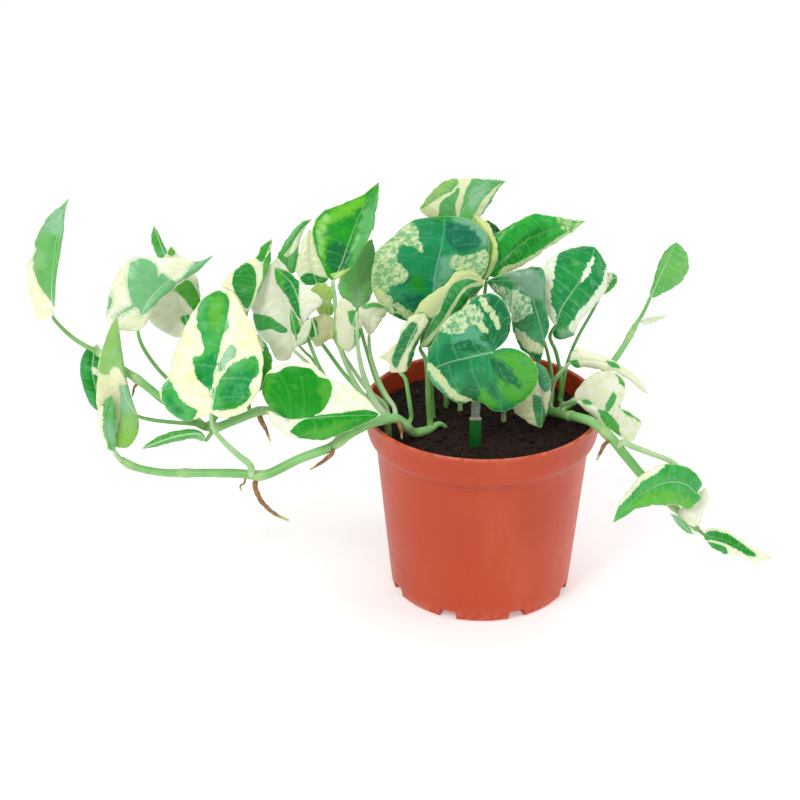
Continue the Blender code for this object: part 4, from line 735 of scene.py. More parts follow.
def grow(name, tone, mid, left, right, slope=(0.0, 0.0), dome=1.2, petiole=None,
         pr=(0.9, 1.0, 1.2), cols=8, rows=2, thick=0.42):
    st = dict(BASE)
    st.update(STYLE.get(name, {}))
    small = rows == 1
    nc, nr = (36, 9) if small else (NC, NR)
    dome = dome if dome else 0.35
    fine = catmull(mid, 240)
    base, tip = fine[0], fine[-1]
    seg = np.concatenate([[0.0], np.cumsum(np.linalg.norm(np.diff(fine, axis=0), axis=1))])
    length = seg[-1]
    edges, feet = [], []
    for margin in (left, right):
        e = catmull([mid[0][:2], *margin, mid[-1][:2]], nc)
        y0, d, s = nearest_np(fine, e)
        edges.append((e, y0, d))
        feet.append(np.maximum.accumulate(np.maximum(s - 0.35 * d / length, 0.0)))
    foot = np.minimum((feet[0] + feet[1]) / 2, 1 - 0.24 * (1 - np.arange(nc + 1) / nc))
    foot[0], foot[-1] = 0.0, 1.0
    for _ in range(6):
        foot[1:-1] = (foot[:-2] + foot[1:-1] * 2 + foot[2:]) / 4
    foot = np.maximum.accumulate(foot)
    want = foot * length
    root = np.stack([np.interp(want, seg, fine[:, k]) for k in range(3)], 1)
    w = (np.arange(nr + 1) / nr) ** 1.15
    rnd = seed_of(name)
    halves = []
    for h, ((e, y0, d), sl) in enumerate(zip(edges, slope)):
        widest = max(d.max(), 1e-6)
        rim3 = np.concatenate([e, (y0 + sl * d * 0.5)[:, None]], 1)
        rim3[0], rim3[-1] = root[0], root[-1]
        g = root[:, None, :] * (1 - w)[None, :, None] + rim3[:, None, :] * w[None, :, None]
        # ease the inner positions apart so that the veins fan out evenly
        for _ in range(10):
            g[1:-1, 1:-1, :2] = g[1:-1, 1:-1, :2] * 0.5 + 0.125 * (g[:-2, 1:-1, :2] + g[2:, 1:-1, :2] + g[1:-1, :-2, :2] + g[1:-1, 2:, :2])
        share = np.minimum(1.0, d / widest)[:, None]
        t = np.linspace(0, 1, nc + 1)[:, None]
        ph = rnd * 0.41 + h * 1.7
        tt1 = np.linspace(0, 1, nc + 1)
        jag = np.sin(2 * pi * (5.3 * tt1 + ph)) * 0.45 + np.sin(2 * pi * (11.7 * tt1 + ph * 2.1)) * 0.3 + np.sin(2 * pi * (19.1 * tt1 + ph * 3.3)) * 0.16
        jag = jag * st["jag"] * np.minimum(1.0, d / 10) * np.minimum(1.0, 8 * tt1) * np.minimum(1.0, 8 * (1 - tt1))
        dirn = g[:, -1, :2] - g[:, 0, :2]
        dirn = dirn / np.maximum(np.linalg.norm(dirn, axis=1, keepdims=True), 1e-6)
        g[:, :, :2] += (dirn * jag[:, None])[:, None, :] * (w ** 3)[None, :, None]
        g[:, :, 2] -= dome * 4 * w * (1 - w) * share
        g[:, :, 2] += st["curl"] * (w ** 4) * share
        g[:, :, 2] += st["wave"] * (w ** 2) * share * np.sin(2 * pi * (st["nw"] * t + rnd * 0.17 + h * 0.37))
        g[:, :, 2] += 0.35 * st["wave"] * (w ** 3) * share * np.sin(2 * pi * (st["nw"] * 2.7 * t + rnd * 0.31 + h * 0.61))
        halves.append(g)
    # one vertex list for both halves, which share the midrib, base and tip
    idx = np.zeros((2, nc + 1, nr + 1), int)
    P, VN, W, H, D = [], [], [], [], []

    def add(p, vein, ww, half, dist):
        P.append(p); VN.append(vein); W.append(ww); H.append(half); D.append(dist)
        return len(P) - 1

    nv = 9.0 if not small else 6.0
    mids = [add(halves[0][i, 0], i / nc * nv, 0.0, 0, 0.0) for i in range(nc + 1)]
    for h in range(2):
        e, y0, d = edges[h]
        for i in range(nc + 1):
            for kk in range(nr + 1):
                if kk == 0 or i in (0, nc):
                    idx[h, i, kk] = mids[i]
                else:
                    idx[h, i, kk] = add(halves[h][i, kk], i / nc * nv + 0.9 * w[kk] ** 2 + 0.5 * h, w[kk], h, d[i])
    P = np.array(P)
    VN, W, D = np.array(VN), np.array(W), np.array(D)
    X = at_np(P)
    quads = []
    for h in range(2):
        for i in range(nc):
            for kk in range(nr):
                q = [idx[h, i, kk], idx[h, i + 1, kk], idx[h, i + 1, kk + 1], idx[h, i, kk + 1]]
                if h:
                    q = q[::-1]
                q = list(dict.fromkeys(q))
                if len(q) > 2:
                    quads.append(q)
    N = np.zeros_like(X)
    for q in quads:
        a, b, c = X[q[0]], X[q[1]], X[q[2]]
        nrm = np.cross(b - a, c - a)
        for v in q:
            N[v] += nrm
    ln = np.linalg.norm(N, axis=1, keepdims=True)
    N = np.where(ln > 1e-15, N / np.maximum(ln, 1e-15), np.array([[0, -1.0, 0]]))
    view = np.array([0, -cos(TILT), sin(TILT)])
    if (N @ view).sum() < 0:
        N = -N
        quads = [q[::-1] for q in quads]
    # quilting between the veins
    X = X + N * (st["quilt"] * np.cos(2 * pi * VN) * -4 * W * (1 - W) * np.minimum(1, D / 12))[:, None] * MM
    # arc length from midrib in mm, and distance to the margin
    acr = np.zeros(len(P))
    rimd = np.zeros(len(P))
    for h in range(2):
        G = X[idx[h]]
        steps = np.linalg.norm(np.diff(G, axis=1), axis=2) / MM
        c = np.concatenate([np.zeros((nc + 1, 1)), np.cumsum(steps, axis=1)], 1)
        acr[idx[h]] = c
        rimd[idx[h]] = c[:, -1:] - c
    lenmm = np.linalg.norm(np.diff(at_np(fine), axis=0), axis=1).sum() / MM
    for i in range(nc + 1):
        acr[mids[i]] = 0.0
        rimd[mids[i]] = 6.0 if 0 < i < nc else 0.0
    alongmm = np.interp(np.clip((VN / nv), 0, 1), np.linspace(0, 1, nc + 1), foot) * lenmm
    # patches
    uv = P[:, :2]
    if tone == "g" and (st["cream"] or not st["green"]):
        patch = np.minimum(30.0, -zone_field(st["cream"], uv))
        if st["green"]:
            patch = np.maximum(patch, zone_field(st["green"], uv))
    else:
        patch = np.maximum(zone_field(st["green"], uv), -30.0)
    fa = np.stack([patch, VN, acr], 1)
    fc = np.stack([zone_field(st["marble"], uv), zone_field(st["greyz"], uv), zone_field(st["brightz"], uv)], 1)
    dk = zone_field(st["darkz"], uv)
    fd = np.stack([dk, dk * 0, dk * 0], 1)
    # closed blade: upper and lower skin, a rounded margin, the midrib standing proud below
    n = len(P)
    tk = thick * (0.55 + 0.45 * np.minimum(1.0, rimd / 2.0))
    ridge = 0.42 * np.exp(-(acr / 0.7) ** 2) * (1 - 0.75 * np.clip(alongmm / max(lenmm, 1e-6), 0, 1))
    if small:
        ridge *= 0.5
    up = X + N * (tk * 0.5)[:, None] * MM
    lowr = X - N * (tk * 0.5 + ridge)[:, None] * MM
    if st["flip"]:
        up, lowr = X + N * (tk * 0.5 + ridge)[:, None] * MM, X - N * (tk * 0.5)[:, None] * MM
    verts = [up, lowr]
    faces = [tuple(q) for q in quads] + [tuple(n + v for v in q[::-1]) for q in quads]
    # margin loop
    from collections import Counter
    cnt = Counter()
    for q in quads:
        for a, b in zip(q, q[1:] + q[:1]):
            cnt[(a, b)] += 1
    border = [(a, b) for (a, b) in cnt if (b, a) not in cnt]
    bset = sorted({v for e in border for v in e})
    pos = {v: i for i, v in enumerate(bset)}
    inward = np.zeros((len(bset), 3))
    for h in range(2):
        for i in range(nc + 1):
            v = idx[h, i, nr]
            if v in pos:
                inner = idx[h, min(max(i, 1), nc - 1), nr - 1]
                dvec = X[inner] - X[v]
                inward[pos[v]] = dvec / max(np.linalg.norm(dvec), 1e-12)
    outv = X[bset] - inward * 0.16 * MM
    verts.append(outv)
    for a, b in border:
        o_a, o_b = 2 * n + pos[a], 2 * n + pos[b]
        faces.append((b, a, o_a, o_b))
        faces.append((o_b, o_a, n + a, n + b))
    V = np.concatenate(verts)
    ring = np.array(bset)
    sidev = np.concatenate([np.zeros(n), np.ones(n), np.full(len(bset), 0.5)])
    if st["flip"]:
        sidev = 1 - sidev
    FA = np.concatenate([fa, fa, fa[ring]])
    FB = np.stack([np.concatenate([rimd, rimd, np.zeros(len(ring))]), sidev, np.concatenate([alongmm, alongmm, alongmm[ring]])], 1)
    FC = np.concatenate([fc, fc, fc[ring]])
    FD = np.concatenate([fd, fd, fd[ring]])
    SA = np.zeros_like(FA)
    matidx = [0] * len(faces)
    mats = [leaf_material("mat_" + name, st)]
    if petiole:
        behind = np.array((0.0, 0.0, 0.85))
        j1, j2, j3 = (np.searchsorted(seg, length * q) for q in (0.22, 0.12, 0.05))
        pts = [fine[j1] + behind, fine[j2] + behind, fine[j3] + behind, fine[0] + behind * 0.35] + [np.array(q, float) for q in petiole[1:]]
        wpts = [np.array(at(*q)) for q in pts]
        end = join_on(Vector(wpts[-1]))
        if end is not None:
            wpts.append(np.array(end))
        else:
            wpts += run_on(Vector(wpts[-1]), name)
        m = max(14, 7 * len(wpts))
        path = catmull(wpts, m)
        tt = np.linspace(0, 1, m + 1)
        rr = np.array([0.25, 0.5, 0.62, *pr]) if len(pr) > 2 else np.array([0.3, 0.6, *pr])
        run = np.concatenate([[0.0], np.cumsum(np.linalg.norm(np.diff(path, axis=0), axis=1))])
        # the first part lies under the blade, then the stalk takes its own radii
        d_under = np.linalg.norm(wpts[3] - wpts[2]) + np.linalg.norm(wpts[2] - wpts[1]) + np.linalg.norm(wpts[1] - wpts[0])
        f0 = min(0.6, d_under / run[-1])
        xs = np.concatenate([[0, f0 * 0.5, f0 * 0.9], np.linspace(f0 * 1.15, 1, len(pr))])
        radii = np.interp(run / run[-1], xs, [0.22, 0.42, 0.62 * pr[0] / 0.9, *pr])
        if end is not None and len(petiole) > 3:
            radii = radii * (1 + 0.25 * smooth01((run / run[-1] - 0.86) / 0.14))
        tv, tf, ta, tg = tube(path, radii, 12, groove=0.22 if len(petiole) > 3 else 0.0)
        o = len(V)
        V = np.concatenate([V, tv])
        faces += [tuple(o + v for v in f) for f in tf]
        matidx += [1] * len(tf)
        mats.append(PETIOLE_MATS[rnd % len(PETIOLE_MATS)] if name not in PALE_STALK else PETIOLE_MATS[1])
        zero = np.zeros((len(tv), 3))
        FA = np.concatenate([FA, zero]); FB = np.concatenate([FB, zero]); FC = np.concatenate([FC, zero]); FD = np.concatenate([FD, zero])
        SA = np.concatenate([SA, np.stack([ta, tg, np.full(len(tv), 30.0)], 1)])
    return make_object(name + "_blade", V, faces, mats, matidx, dict(lf_a=FA, lf_b=FB, lf_c=FC, lf_d=FD, st_a=SA), node=name)


PETIOLE_MATS = [
    stalk_material("mat_petiole_fresh", lin(132, 196, 116), lin(104, 176, 86), lin(182, 220, 150), 0.5),
    stalk_material("mat_petiole_pale", lin(186, 214, 164), lin(152, 200, 134), lin(218, 230, 192), 0.6),
    stalk_material("mat_petiole_mid", lin(118, 178, 92), lin(100, 158, 70), lin(164, 204, 124), 0.5),
]
PALE_STALK = {"leaf_left_front", "leaf_crown_spoon", "leaf_left_pale", "leaf_left_pale_narrow", "leaf_crown_arch", "leaf_right_round"}
VINE_MAT = stalk_material("mat_vine", lin(134, 196, 116), lin(108, 178, 88), lin(188, 222, 156), 0.5)
ROOT_MAT = root_material("mat_root")


def stem(name, pts, radii, mat, n=None, sides=6):
    """A vine with swollen, scarred nodes, or an aerial root."""
    path0 = catmull([tuple(at(*p)) for p in pts], 8)
    is_root = mat == "root"
    world = [at(*p) for p in pts]
    lst = [np.array(p) for p in world]
    start = join_on(world[0], own=name)
    if name == "vine_left_lower":
        start = world[0] + Vector((5.0, 3.0, -6.0)) * MM
    if start is not None:
        lst = [np.array(start)] + lst
    if not is_root:
        finish = join_on(world[-1], own=name)
        if finish is not None:
            lst = lst + [np.array(finish)]
    m = 7 * len(lst)
    path = catmull(lst, m)
    run = np.concatenate([[0.0], np.cumsum(np.linalg.norm(np.diff(path, axis=0), axis=1))]) / MM
    tt = run / run[-1]
    rr = np.interp(tt, np.linspace(0, 1, len(radii)), radii)
    if name == "vine_left_lower":
        rr = rr * (0.5 + 0.5 * smooth01((tt - 0.02) / 0.10))
    if is_root:
        rnd = seed_of(name)
        wob = np.array([noise.noise(Vector((r * 0.55, rnd * 0.7, 0.3))) for r in run])
        rr = rr * (1 + 0.28 * wob)
        path = path + np.stack([np.array([noise.noise(Vector((r * 0.25, rnd * 0.3, q))) for r in run]) for q in (1.5, 5.5, 9.5)], 1) * 0.35 * MM * np.minimum(1, run / 4)[:, None]
        tv, tf, ta, tg = tube(path, rr, 12)
        share = np.clip(ta / run[-1], 0, 1)
        return make_object(name + "_root", tv, tf, [ROOT_MAT], None, dict(st_a=np.stack([ta, tg, share], 1)), node=name)
    nodes = []
    for q in NODE_RINGS.get(name, ()):
        d = np.linalg.norm(path - np.array(at(*q)), axis=1)
        nodes.append(run[d.argmin()])
    near = np.full(len(run), 40.0)
    for q in nodes:
        rr = rr * (1 + 0.20 * np.exp(-((run - q) / 2.6) ** 2))
        near = np.minimum(near, np.abs(run - q))
    tv, tf, ta, tg = tube(path, rr, 20, groove=0.05)
    ringv = np.full(len(tv), 40.0)
    for q in nodes:
        ringv = np.minimum(ringv, np.abs(ta - 1.5 - q))
    return make_object(name + "_skin", tv, tf, [VINE_MAT], None, dict(st_a=np.stack([ta, tg, ringv], 1)), node=name)


NODE_RINGS = {
    "vine_left_lower": [(405, 425, -24), (340, 441, -38), (259, 475.5, -45), (186, 473, -38), (130, 465, -28)],
    "vine_left_branch": [(300, 417, -28), (258, 411.5, -32), (216, 427, -36)],
    "vine_left_upper": [(196, 421, -32), (137, 379, -22), (102, 355, -15)],
    "vine_right": [(571, 416, -13), (607, 434, -33), (672, 505, -51), (690, 522, -55)],
    "vine_right_upper": [(576, 400, 5), (630, 336, 20)],
}
for _name, _pts in (
        ("vine_left_lower", [(440, 424, -9), (414, 432.5, -20), (396, 418.5, -26), (374, 422, -30.5), (348, 435, -37), (315, 453, -41),
                             (283, 467, -44), (259, 475.5, -45), (240, 473.5, -44), (186, 473, -38), (142, 469, -30), (122, 460, -26.5)]),
        ("vine_left_branch", [(338, 434, -31), (310, 420, -27.5), (270, 410.5, -30), (258, 411.5, -32), (240, 418.5, -34), (216, 427.5, -36)]),
        ("vine_left_upper", [(205, 426.5, -33.5), (185, 413, -30.5), (162, 399, -26.5), (137, 379, -22), (99, 352.5, -14.5)]),
        ("vine_right", [(547, 408.5, 6), (562, 414, -5), (580, 418, -22.8), (599, 427, -30.5), (614, 441, -35.5), (640, 473, -44),
                        (672, 505, -51), (697, 529, -56)]),
        ("vine_right_upper", [(566, 407, 4), (590, 389, 7.5), (618, 355, 15), (635, 326, 22)])):
    for _q in catmull([tuple(at(*p)) for p in _pts], 60):
        VINE_POINTS.append((_name, Vector(_q)))

GREEN, CREAM, STEM, ROOT = "g", "c", "stem", "root"

# -------------------------------------------------------------------- vines
stem("vine_left_lower", [
    (440, 424, -9), (428, 430, -15), (414, 432.5, -20), (405, 425, -24), (396, 418.5, -26), (384, 420, -28.5),
    (374, 422, -30.5), (364, 426, -33), (348, 435, -37), (331, 447, -39), (315, 453, -41), (299, 459, -42),
    (283, 467, -44), (268, 474, -45), (259, 475.5, -45), (240, 473.5, -44), (213, 473, -41), (186, 473, -38),
    (163, 472.5, -34), (142, 469, -30), (130, 465, -28), (122, 460, -26.5)],
    (2.3, 2.4, 2.4, 2.3, 2.3, 2.2, 2.0, 1.8), STEM, n=40)
stem("vine_left_branch", [
    (338, 434, -31), (326, 428, -29), (310, 420, -27.5), (290, 415, -28), (270, 410.5, -30), (258, 411.5, -32),
    (240, 418.5, -34), (226, 424, -35.5), (216, 427.5, -36)], (2.0, 2.0, 2.1, 2.1), STEM, n=18)
stem("vine_left_upper", [
    (205, 426.5, -33.5), (196, 421, -32), (185, 413, -30.5), (174, 406, -28.5), (162, 399, -26.5), (150, 389, -24.5), (137, 379, -22),
    (125, 371, -19.5), (112, 361, -17), (99, 352.5, -14.5)], (2.1, 2.1, 2.0, 1.8), STEM, n=20)
stem("vine_right", [
    (547, 408.5, 6), (553, 411.5, 0.5), (562, 414, -5), (571, 416, -13), (580, 418, -22.8), (590, 421, -27), (599, 427, -30.5),
    (607, 434, -33), (614, 441, -35.5), (621, 450, -38), (630, 461, -41), (640, 473, -44), (655, 489, -47.5),
    (672, 505, -51), (686, 518, -54), (697, 529, -56)], (2.2, 2.4, 2.4, 2.3, 2.0, 1.6), STEM, n=34)
stem("vine_right_upper", [
    (566, 407, 4), (576, 400, 5), (590, 389, 7.5), (604, 373, 11), (618, 355, 15), (627, 341, 18), (635, 326, 22)],
    (1.7, 1.7, 1.6, 1.5), STEM, n=14)

# ------------------------------------------------------------- aerial roots
stem("root_left_node", [(255, 484, -45), (257, 493, -45.5), (262, 502, -46), (268, 509, -47), (278, 516, -48), (288, 520.5, -49)],
     (1.3, 1.3, 1.1, 0.9, 0.5), ROOT, n=10, sides=6)
stem("root_left_hook", [(244, 483.5, -44), (240.5, 485, -44.5), (240, 488, -45), (242, 491, -45)], (0.5, 0.5, 0.3), ROOT, n=5, sides=5)
stem("root_left_mid", [(333, 452.5, -41.5), (326, 459, -42.5), (318, 465, -43), (310, 470, -43.5)], (1.1, 1.0, 0.5), ROOT, n=6, sides=6)
stem("root_left_branch", [(260, 417.5, -33), (263, 424, -34), (267, 432, -35), (270, 441, -36)], (1.3, 1.1, 0.4), ROOT, n=6, sides=6)
stem("root_left_upper", [(136, 385.5, -22), (134, 389, -22), (132.5, 396, -22.5)], (0.8, 0.7, 0.4), ROOT, n=4, sides=5)
stem("root_right", [(608, 441.5, -36), (603, 447, -38), (600, 454, -39), (597, 460, -40)], (1.0, 1.1, 0.5), ROOT, n=6, sides=6)
stem("root_crown", [(399, 424, -28.5), (401, 430, -30), (402, 438, -31)], (1.0, 1.1, 0.4), ROOT, n=5, sides=6)

# ------------------------------------------------------------------- leaves
# left group, along the three left-hand vines
leaf("leaf_left_tip", GREEN, [(53, 317, -4), (52, 292, -2), (54, 262, 3), (58, 232, 8), (69, 198, 15)],
     [(46, 319), (37, 319), (32, 305), (28, 282), (27, 267), (33, 254), (36, 240), (43, 224), (52, 213), (62, 205)],
     [(55, 300), (56, 280), (59, 261), (62, 243), (64, 228), (65, 213)],
     slope=(0.5, -0.3), petiole=[(53, 317, -4), (60, 326, -6), (72, 337, -9), (84, 345, -11.5), (93, 349.5, -13.3)], pr=(0.9, 1.1, 1.3))
leaf("leaf_left_under", GREEN, [(94, 351, -7), (92, 370, -8), (96, 390, -10), (100, 413, -13)],
     [(88, 348), (82, 357), (80, 370), (84, 390), (91, 405)], [(101, 349), (107, 358), (109, 375), (106, 395)],
     slope=(0.1, 0.3), petiole=[(94, 351, -7), (95, 348, -8), (97, 346, -9)], pr=(0.8, 0.9, 0.9), cols=6)
leaf("leaf_left_hanging", CREAM, [(138, 416, -31), (127, 400, -30), (121, 375, -28), (119, 345, -26), (117, 316, -25)],
     [(139, 425), (137, 436), (129, 446), (116, 447), (104, 432), (97, 410), (97, 388), (99, 361), (108, 332)],
     [(134, 405), (130, 392), (125, 370), (121, 343)],
     slope=(0.15, 0.5), petiole=[(138, 416, -31), (150, 419.5, -31.5), (170, 422, -33), (190, 423.5, -35.5), (203, 425, -37)], pr=(0.9, 1.0, 1.2))
leaf("leaf_left_vine_end", GREEN, [(115, 452, -30), (109, 438, -32), (107, 420, -33.5), (112, 394, -34)],
     [(108, 449), (101, 438), (98, 424), (100, 408)], [(116, 440), (116, 422), (115, 405)],
     slope=(0.3, -0.3), petiole=[(115, 452, -30), (117, 455.5, -28.5), (120, 459, -27.5)], pr=(1.2, 1.4, 1.5), cols=6)
leaf("leaf_left_drooping", CREAM, [(138, 331, -15), (145, 308, -11), (160, 288, -5), (185, 270, 2), (214, 255, 7)],
     [(127, 331), (114, 328), (107, 318), (108, 300), (114, 281), (121, 268), (130, 260), (141, 257), (158, 258), (178, 258), (190, 258), (198, 263)],
     [(146, 324), (153, 309), (160, 299), (168, 293), (184, 281), (198, 271)],
     slope=(0.25, -0.1), petiole=[(138, 331, -15), (141, 343, -17), (149, 357, -19), (159, 370, -21), (172, 383, -23), (187, 397, -25), (196, 408, -27)])
leaf("leaf_left_round", CREAM, [(192, 338, 6), (186, 318, 11), (176, 290, 15), (171, 246, 20)],
     [(180, 338), (165, 333), (155, 326), (147, 316), (145, 300), (150, 280), (160, 264)],
     [(198, 327), (200, 308), (199, 285), (192, 270), (181, 258)],
     petiole=[(192, 338, 6), (195, 352, 2), (199, 370, -6), (204, 390, -15), (210, 408, -24), (215, 418, -29)])
leaf("leaf_left_small", GREEN, [(166, 258, 24), (161, 245, 26), (154, 225, 29)],
     [(158, 257), (154, 249), (151, 238)], [(167, 252), (163, 243), (158, 232)],
     petiole=[(166, 258, 24), (174, 275, 22), (183, 300, 19), (190, 325, 15), (196, 345, 9), (203, 370, 0), (212, 395, -12), (221, 413, -24)],
     pr=(0.6, 0.7, 0.8), cols=5, rows=1, dome=0.0)
leaf("leaf_left_front", CREAM, [(211, 413, -44), (216, 385, -39), (223, 342, -28), (232, 291, -14)],
     [(203, 416), (189, 421), (178, 418), (168, 411), (161, 398), (161, 388), (168, 376), (173, 360), (177, 346), (184, 330), (191, 316), (199, 303), (210, 294), (221, 290)],
     [(221, 418), (231, 417), (241, 412), (250, 404), (258, 392), (262, 377), (263, 361), (260, 345), (256, 333), (248, 318), (240, 304)],
     slope=(-0.1, -0.1), petiole=[(211, 413, -44), (211.5, 421, -44.5), (214, 430, -45), (225, 443, -46.5), (238, 455, -47.5), (250, 465, -48.5)],
     pr=(1.0, 1.3, 1.6, 1.7), cols=10)
leaf("leaf_left_behind_front", GREEN, [(250, 394, -20), (256, 370, -16), (258, 334, -9)],
     [(244, 385), (243, 365), (248, 345)], [(260, 391), (268, 382), (272, 361), (267, 346)],
     petiole=[(250, 394, -20), (249, 402, -24), (249, 407, -27)], cols=6, rows=1, dome=0.0)
leaf("leaf_left_young", GREEN, [(206, 440.5, -40), (200, 434.5, -41), (184, 435, -41.5), (162, 441, -42), (141, 449, -43)],
     [(203, 433.5), (195, 429.5), (181, 430), (167, 433), (153, 439.5)], [(201, 441), (193, 438.5), (182, 440.5), (168, 443.5), (155, 447)],
     slope=(1.2, 1.2), petiole=[(206, 440.5, -40), (208.5, 437, -39.5), (211, 433.5, -39)], pr=(0.9, 1.0, 1.0), cols=6, dome=0.4)
leaf("leaf_left_rear", CREAM, [(247, 312, -4), (254, 296, 0), (260, 275, 6), (265, 258, 11), (272, 239, 17)],
     [(242, 311), (235, 301), (228, 290), (222, 287), (227, 278), (235, 270), (246, 262), (256, 257), (262, 246)],
     [(252, 306), (258, 293), (265, 278), (270, 264), (271, 251)],
     slope=(-0.2, 0.8), petiole=[(247, 312, -4), (243, 325, -6), (238, 350, -10), (234, 375, -16), (231, 398, -23), (230, 411, -29)])
leaf("leaf_left_pale", CREAM, [(293, 349, -6), (288, 325, 0), (283, 300, 6), (277, 257, 14)],
     [(290, 358), (281, 361), (275, 358), (271, 347), (260, 336), (254, 322), (252, 306), (256, 289), (264, 273)],
     [(299, 345), (302, 328), (300, 305), (296, 288), (288, 270)],
     slope=(0.1, 0.1), petiole=[(293, 349, -6), (300, 356, -8), (312, 367, -10), (328, 382, -12), (346, 398, -14), (362, 409, -17), (374, 415, -20)])
leaf("leaf_left_narrow", GREEN, [(296, 337, -13), (293, 322, -12), (290, 307, -10)], [(292, 332), (290, 318)], [(300, 329), (296, 316)],
     petiole=[(296, 337, -13), (299, 345, -13.5), (306, 353, -14)], pr=(0.6, 0.7, 0.7), cols=4, rows=1, dome=0.0)
leaf("leaf_left_folded_tall", GREEN, [(288, 274, 22), (289, 255, 25), (297, 235, 29), (312, 219, 34)],
     [(280, 270), (277, 260), (282, 247), (292, 232), (302, 222)], [(295, 272), (298, 255), (301, 237), (307, 225)],
     petiole=[(288, 274, 22), (294, 290, 21), (304, 312, 18), (314, 332, 14), (328, 352, 7), (346, 376, -2), (366, 396, -9), (384, 405, -12)])
leaf("leaf_left_dark_fold", GREEN, [(304, 323, -12), (299, 302, -9), (292, 284, -6), (275, 267, -2)],
     [(297, 315), (291, 305), (286, 295), (280, 288), (275, 277)], [(310, 315), (316, 309), (323, 302), (311, 290), (298, 280), (287, 271)],
     slope=(0.2, 0.2), petiole=[(304, 323, -12), (307, 335, -13), (313, 352, -14.5), (321, 370, -16), (334, 388, -18), (350, 402, -20), (367, 411, -22)])
leaf("leaf_left_pale_narrow", CREAM, [(311, 318, -17), (304, 333, -18), (295, 347.5, -19)], [(305, 322), (299, 334)], [(311, 328), (305, 341)],
     petiole=[(311, 318, -17), (314, 325, -17.5), (316, 337, -18)], pr=(0.5, 0.6, 0.6), cols=4, rows=1, dome=0.0)
leaf("leaf_left_cream_low", CREAM, [(334, 331, -2), (324, 330, -3), (312, 341, -5)],
     [(333, 318), (322, 315), (311, 320), (308, 332)], [(334, 337), (326, 341), (317, 347)],
     petiole=[(334, 331, -2), (339, 340, -4), (343, 352, -6)], pr=(0.7, 0.8, 0.8), cols=6, rows=1, dome=0.0)
leaf("leaf_left_lower_front", GREEN, [(288, 420, -43), (310, 418, -45), (340, 416, -44), (381, 415, -40)],
     [(281, 414), (269, 406), (262, 392), (263, 381), (271, 370), (288, 363), (308, 363), (321, 371), (332, 380), (346, 386), (360, 393)],
     [(279, 419), (270, 410), (270, 420), (277, 428), (288, 435), (304, 439), (327, 439), (352, 429), (370, 421)],
     slope=(0.3, -0.15), petiole=[(288, 420, -43), (281, 417, -39), (274, 414.5, -35.5), (268, 412.5, -33.5)], pr=(1.0, 1.2, 1.2), cols=10)

# crown, over the pot
leaf("leaf_crown_upright", GREEN, [(333, 281, 2), (339, 270, 5), (345, 254, 10), (352, 234, 16), (362, 210, 24), (379, 182, 33)],
     [(327, 276), (322, 264), (316, 250), (313, 232), (316, 219), (325, 211), (340, 204.5), (352, 200), (363, 194.5)],
     [(340, 277), (350, 269), (358, 257), (367, 241), (373, 229), (376, 211), (378.5, 196)],
     slope=(0.1, -0.25), petiole=[(333, 281, 2), (335, 300, -1), (336, 320, -4), (338, 340, -7), (345, 362, -10), (357, 386, -14), (372, 404, -17), (384, 411.5, -20)],
     pr=(1.0, 1.1, 1.3), cols=10)
leaf("leaf_crown_back_lobe", GREEN, [(330, 303, 6), (321, 298, 6), (310, 290, 7)], [(334, 292), (326, 284), (317, 283.5)],
     [(333, 313), (325, 316), (317, 312), (317, 302)],
     petiole=[(330, 303, 6), (335, 312, 5), (338, 325, 3)], pr=(0.7, 0.8, 0.8), cols=5, rows=1, dome=0.0)
leaf("leaf_crown_underside", GREEN, [(357, 308, 14), (359, 285, 19), (364, 260, 25), (372, 239, 31)],
     [(347, 303), (339, 292), (340, 277), (350, 260), (363, 244)], [(365, 305), (372, 294), (375.5, 275), (376, 255)],
     slope=(0.1, 0.2), petiole=[(357, 308, 14), (361, 330, 11), (368, 355, 5), (376, 380, -3), (386, 400, -9)])
leaf("leaf_crown_cream_back", CREAM, [(317, 284, 14), (312, 268, 17), (310, 250, 21), (310, 229, 26)],
     [(307, 285), (300, 279), (296, 270), (300, 252), (304, 237)], [(324, 283), (329, 277), (324, 264), (317, 245)],
     petiole=[(317, 284, 14), (322, 300, 12), (328, 322, 9), (338, 345, 3), (352, 368, -4), (368, 390, -10), (386, 407, -15)])
leaf("leaf_crown_spoon", CREAM, [(356, 312, -12), (352, 330, -14), (349, 352, -15)], [(350, 302), (341, 299), (336.5, 311), (336.5, 330), (341, 348)],
     [(360, 318), (362, 332), (356, 345)],
     petiole=[(356, 312, -12), (357, 328, -15), (358, 348, -17), (362, 370, -18), (369, 390, -20), (377, 405, -22), (382, 412, -24)],
     pr=(0.8, 1.0, 1.6, 1.8), cols=6, dome=0.5)
leaf("leaf_crown_arch", CREAM, [(369, 336, -4), (370, 322, 0), (375, 312, 4), (388, 307, 9)],
     [(364, 327), (357, 317), (362, 306), (374, 301.5)], [(375, 330), (381, 321), (386, 314)],
     petiole=[(369, 336, -4), (370, 352, -8), (377, 376, -12), (386, 395, -16), (394, 407, -19)], pr=(0.8, 1.1, 1.2), cols=6, dome=0.6)
leaf("leaf_crown_twisted", CREAM, [(400, 372, -20), (406, 350, -18), (415, 330, -14), (425, 313, -10)],
     [(391, 372), (389, 363), (380, 357), (390, 350), (398, 340), (402, 328), (412, 316)],
     [(405, 372), (411, 363), (415, 350), (421, 336), (428, 322)],
     slope=(0.1, -0.1), petiole=[(400, 372, -20), (405, 378, -20), (408, 392, -20), (410, 406, -19.5), (411, 418, -19)], pr=(0.9, 1.1, 1.1), dome=0.4)
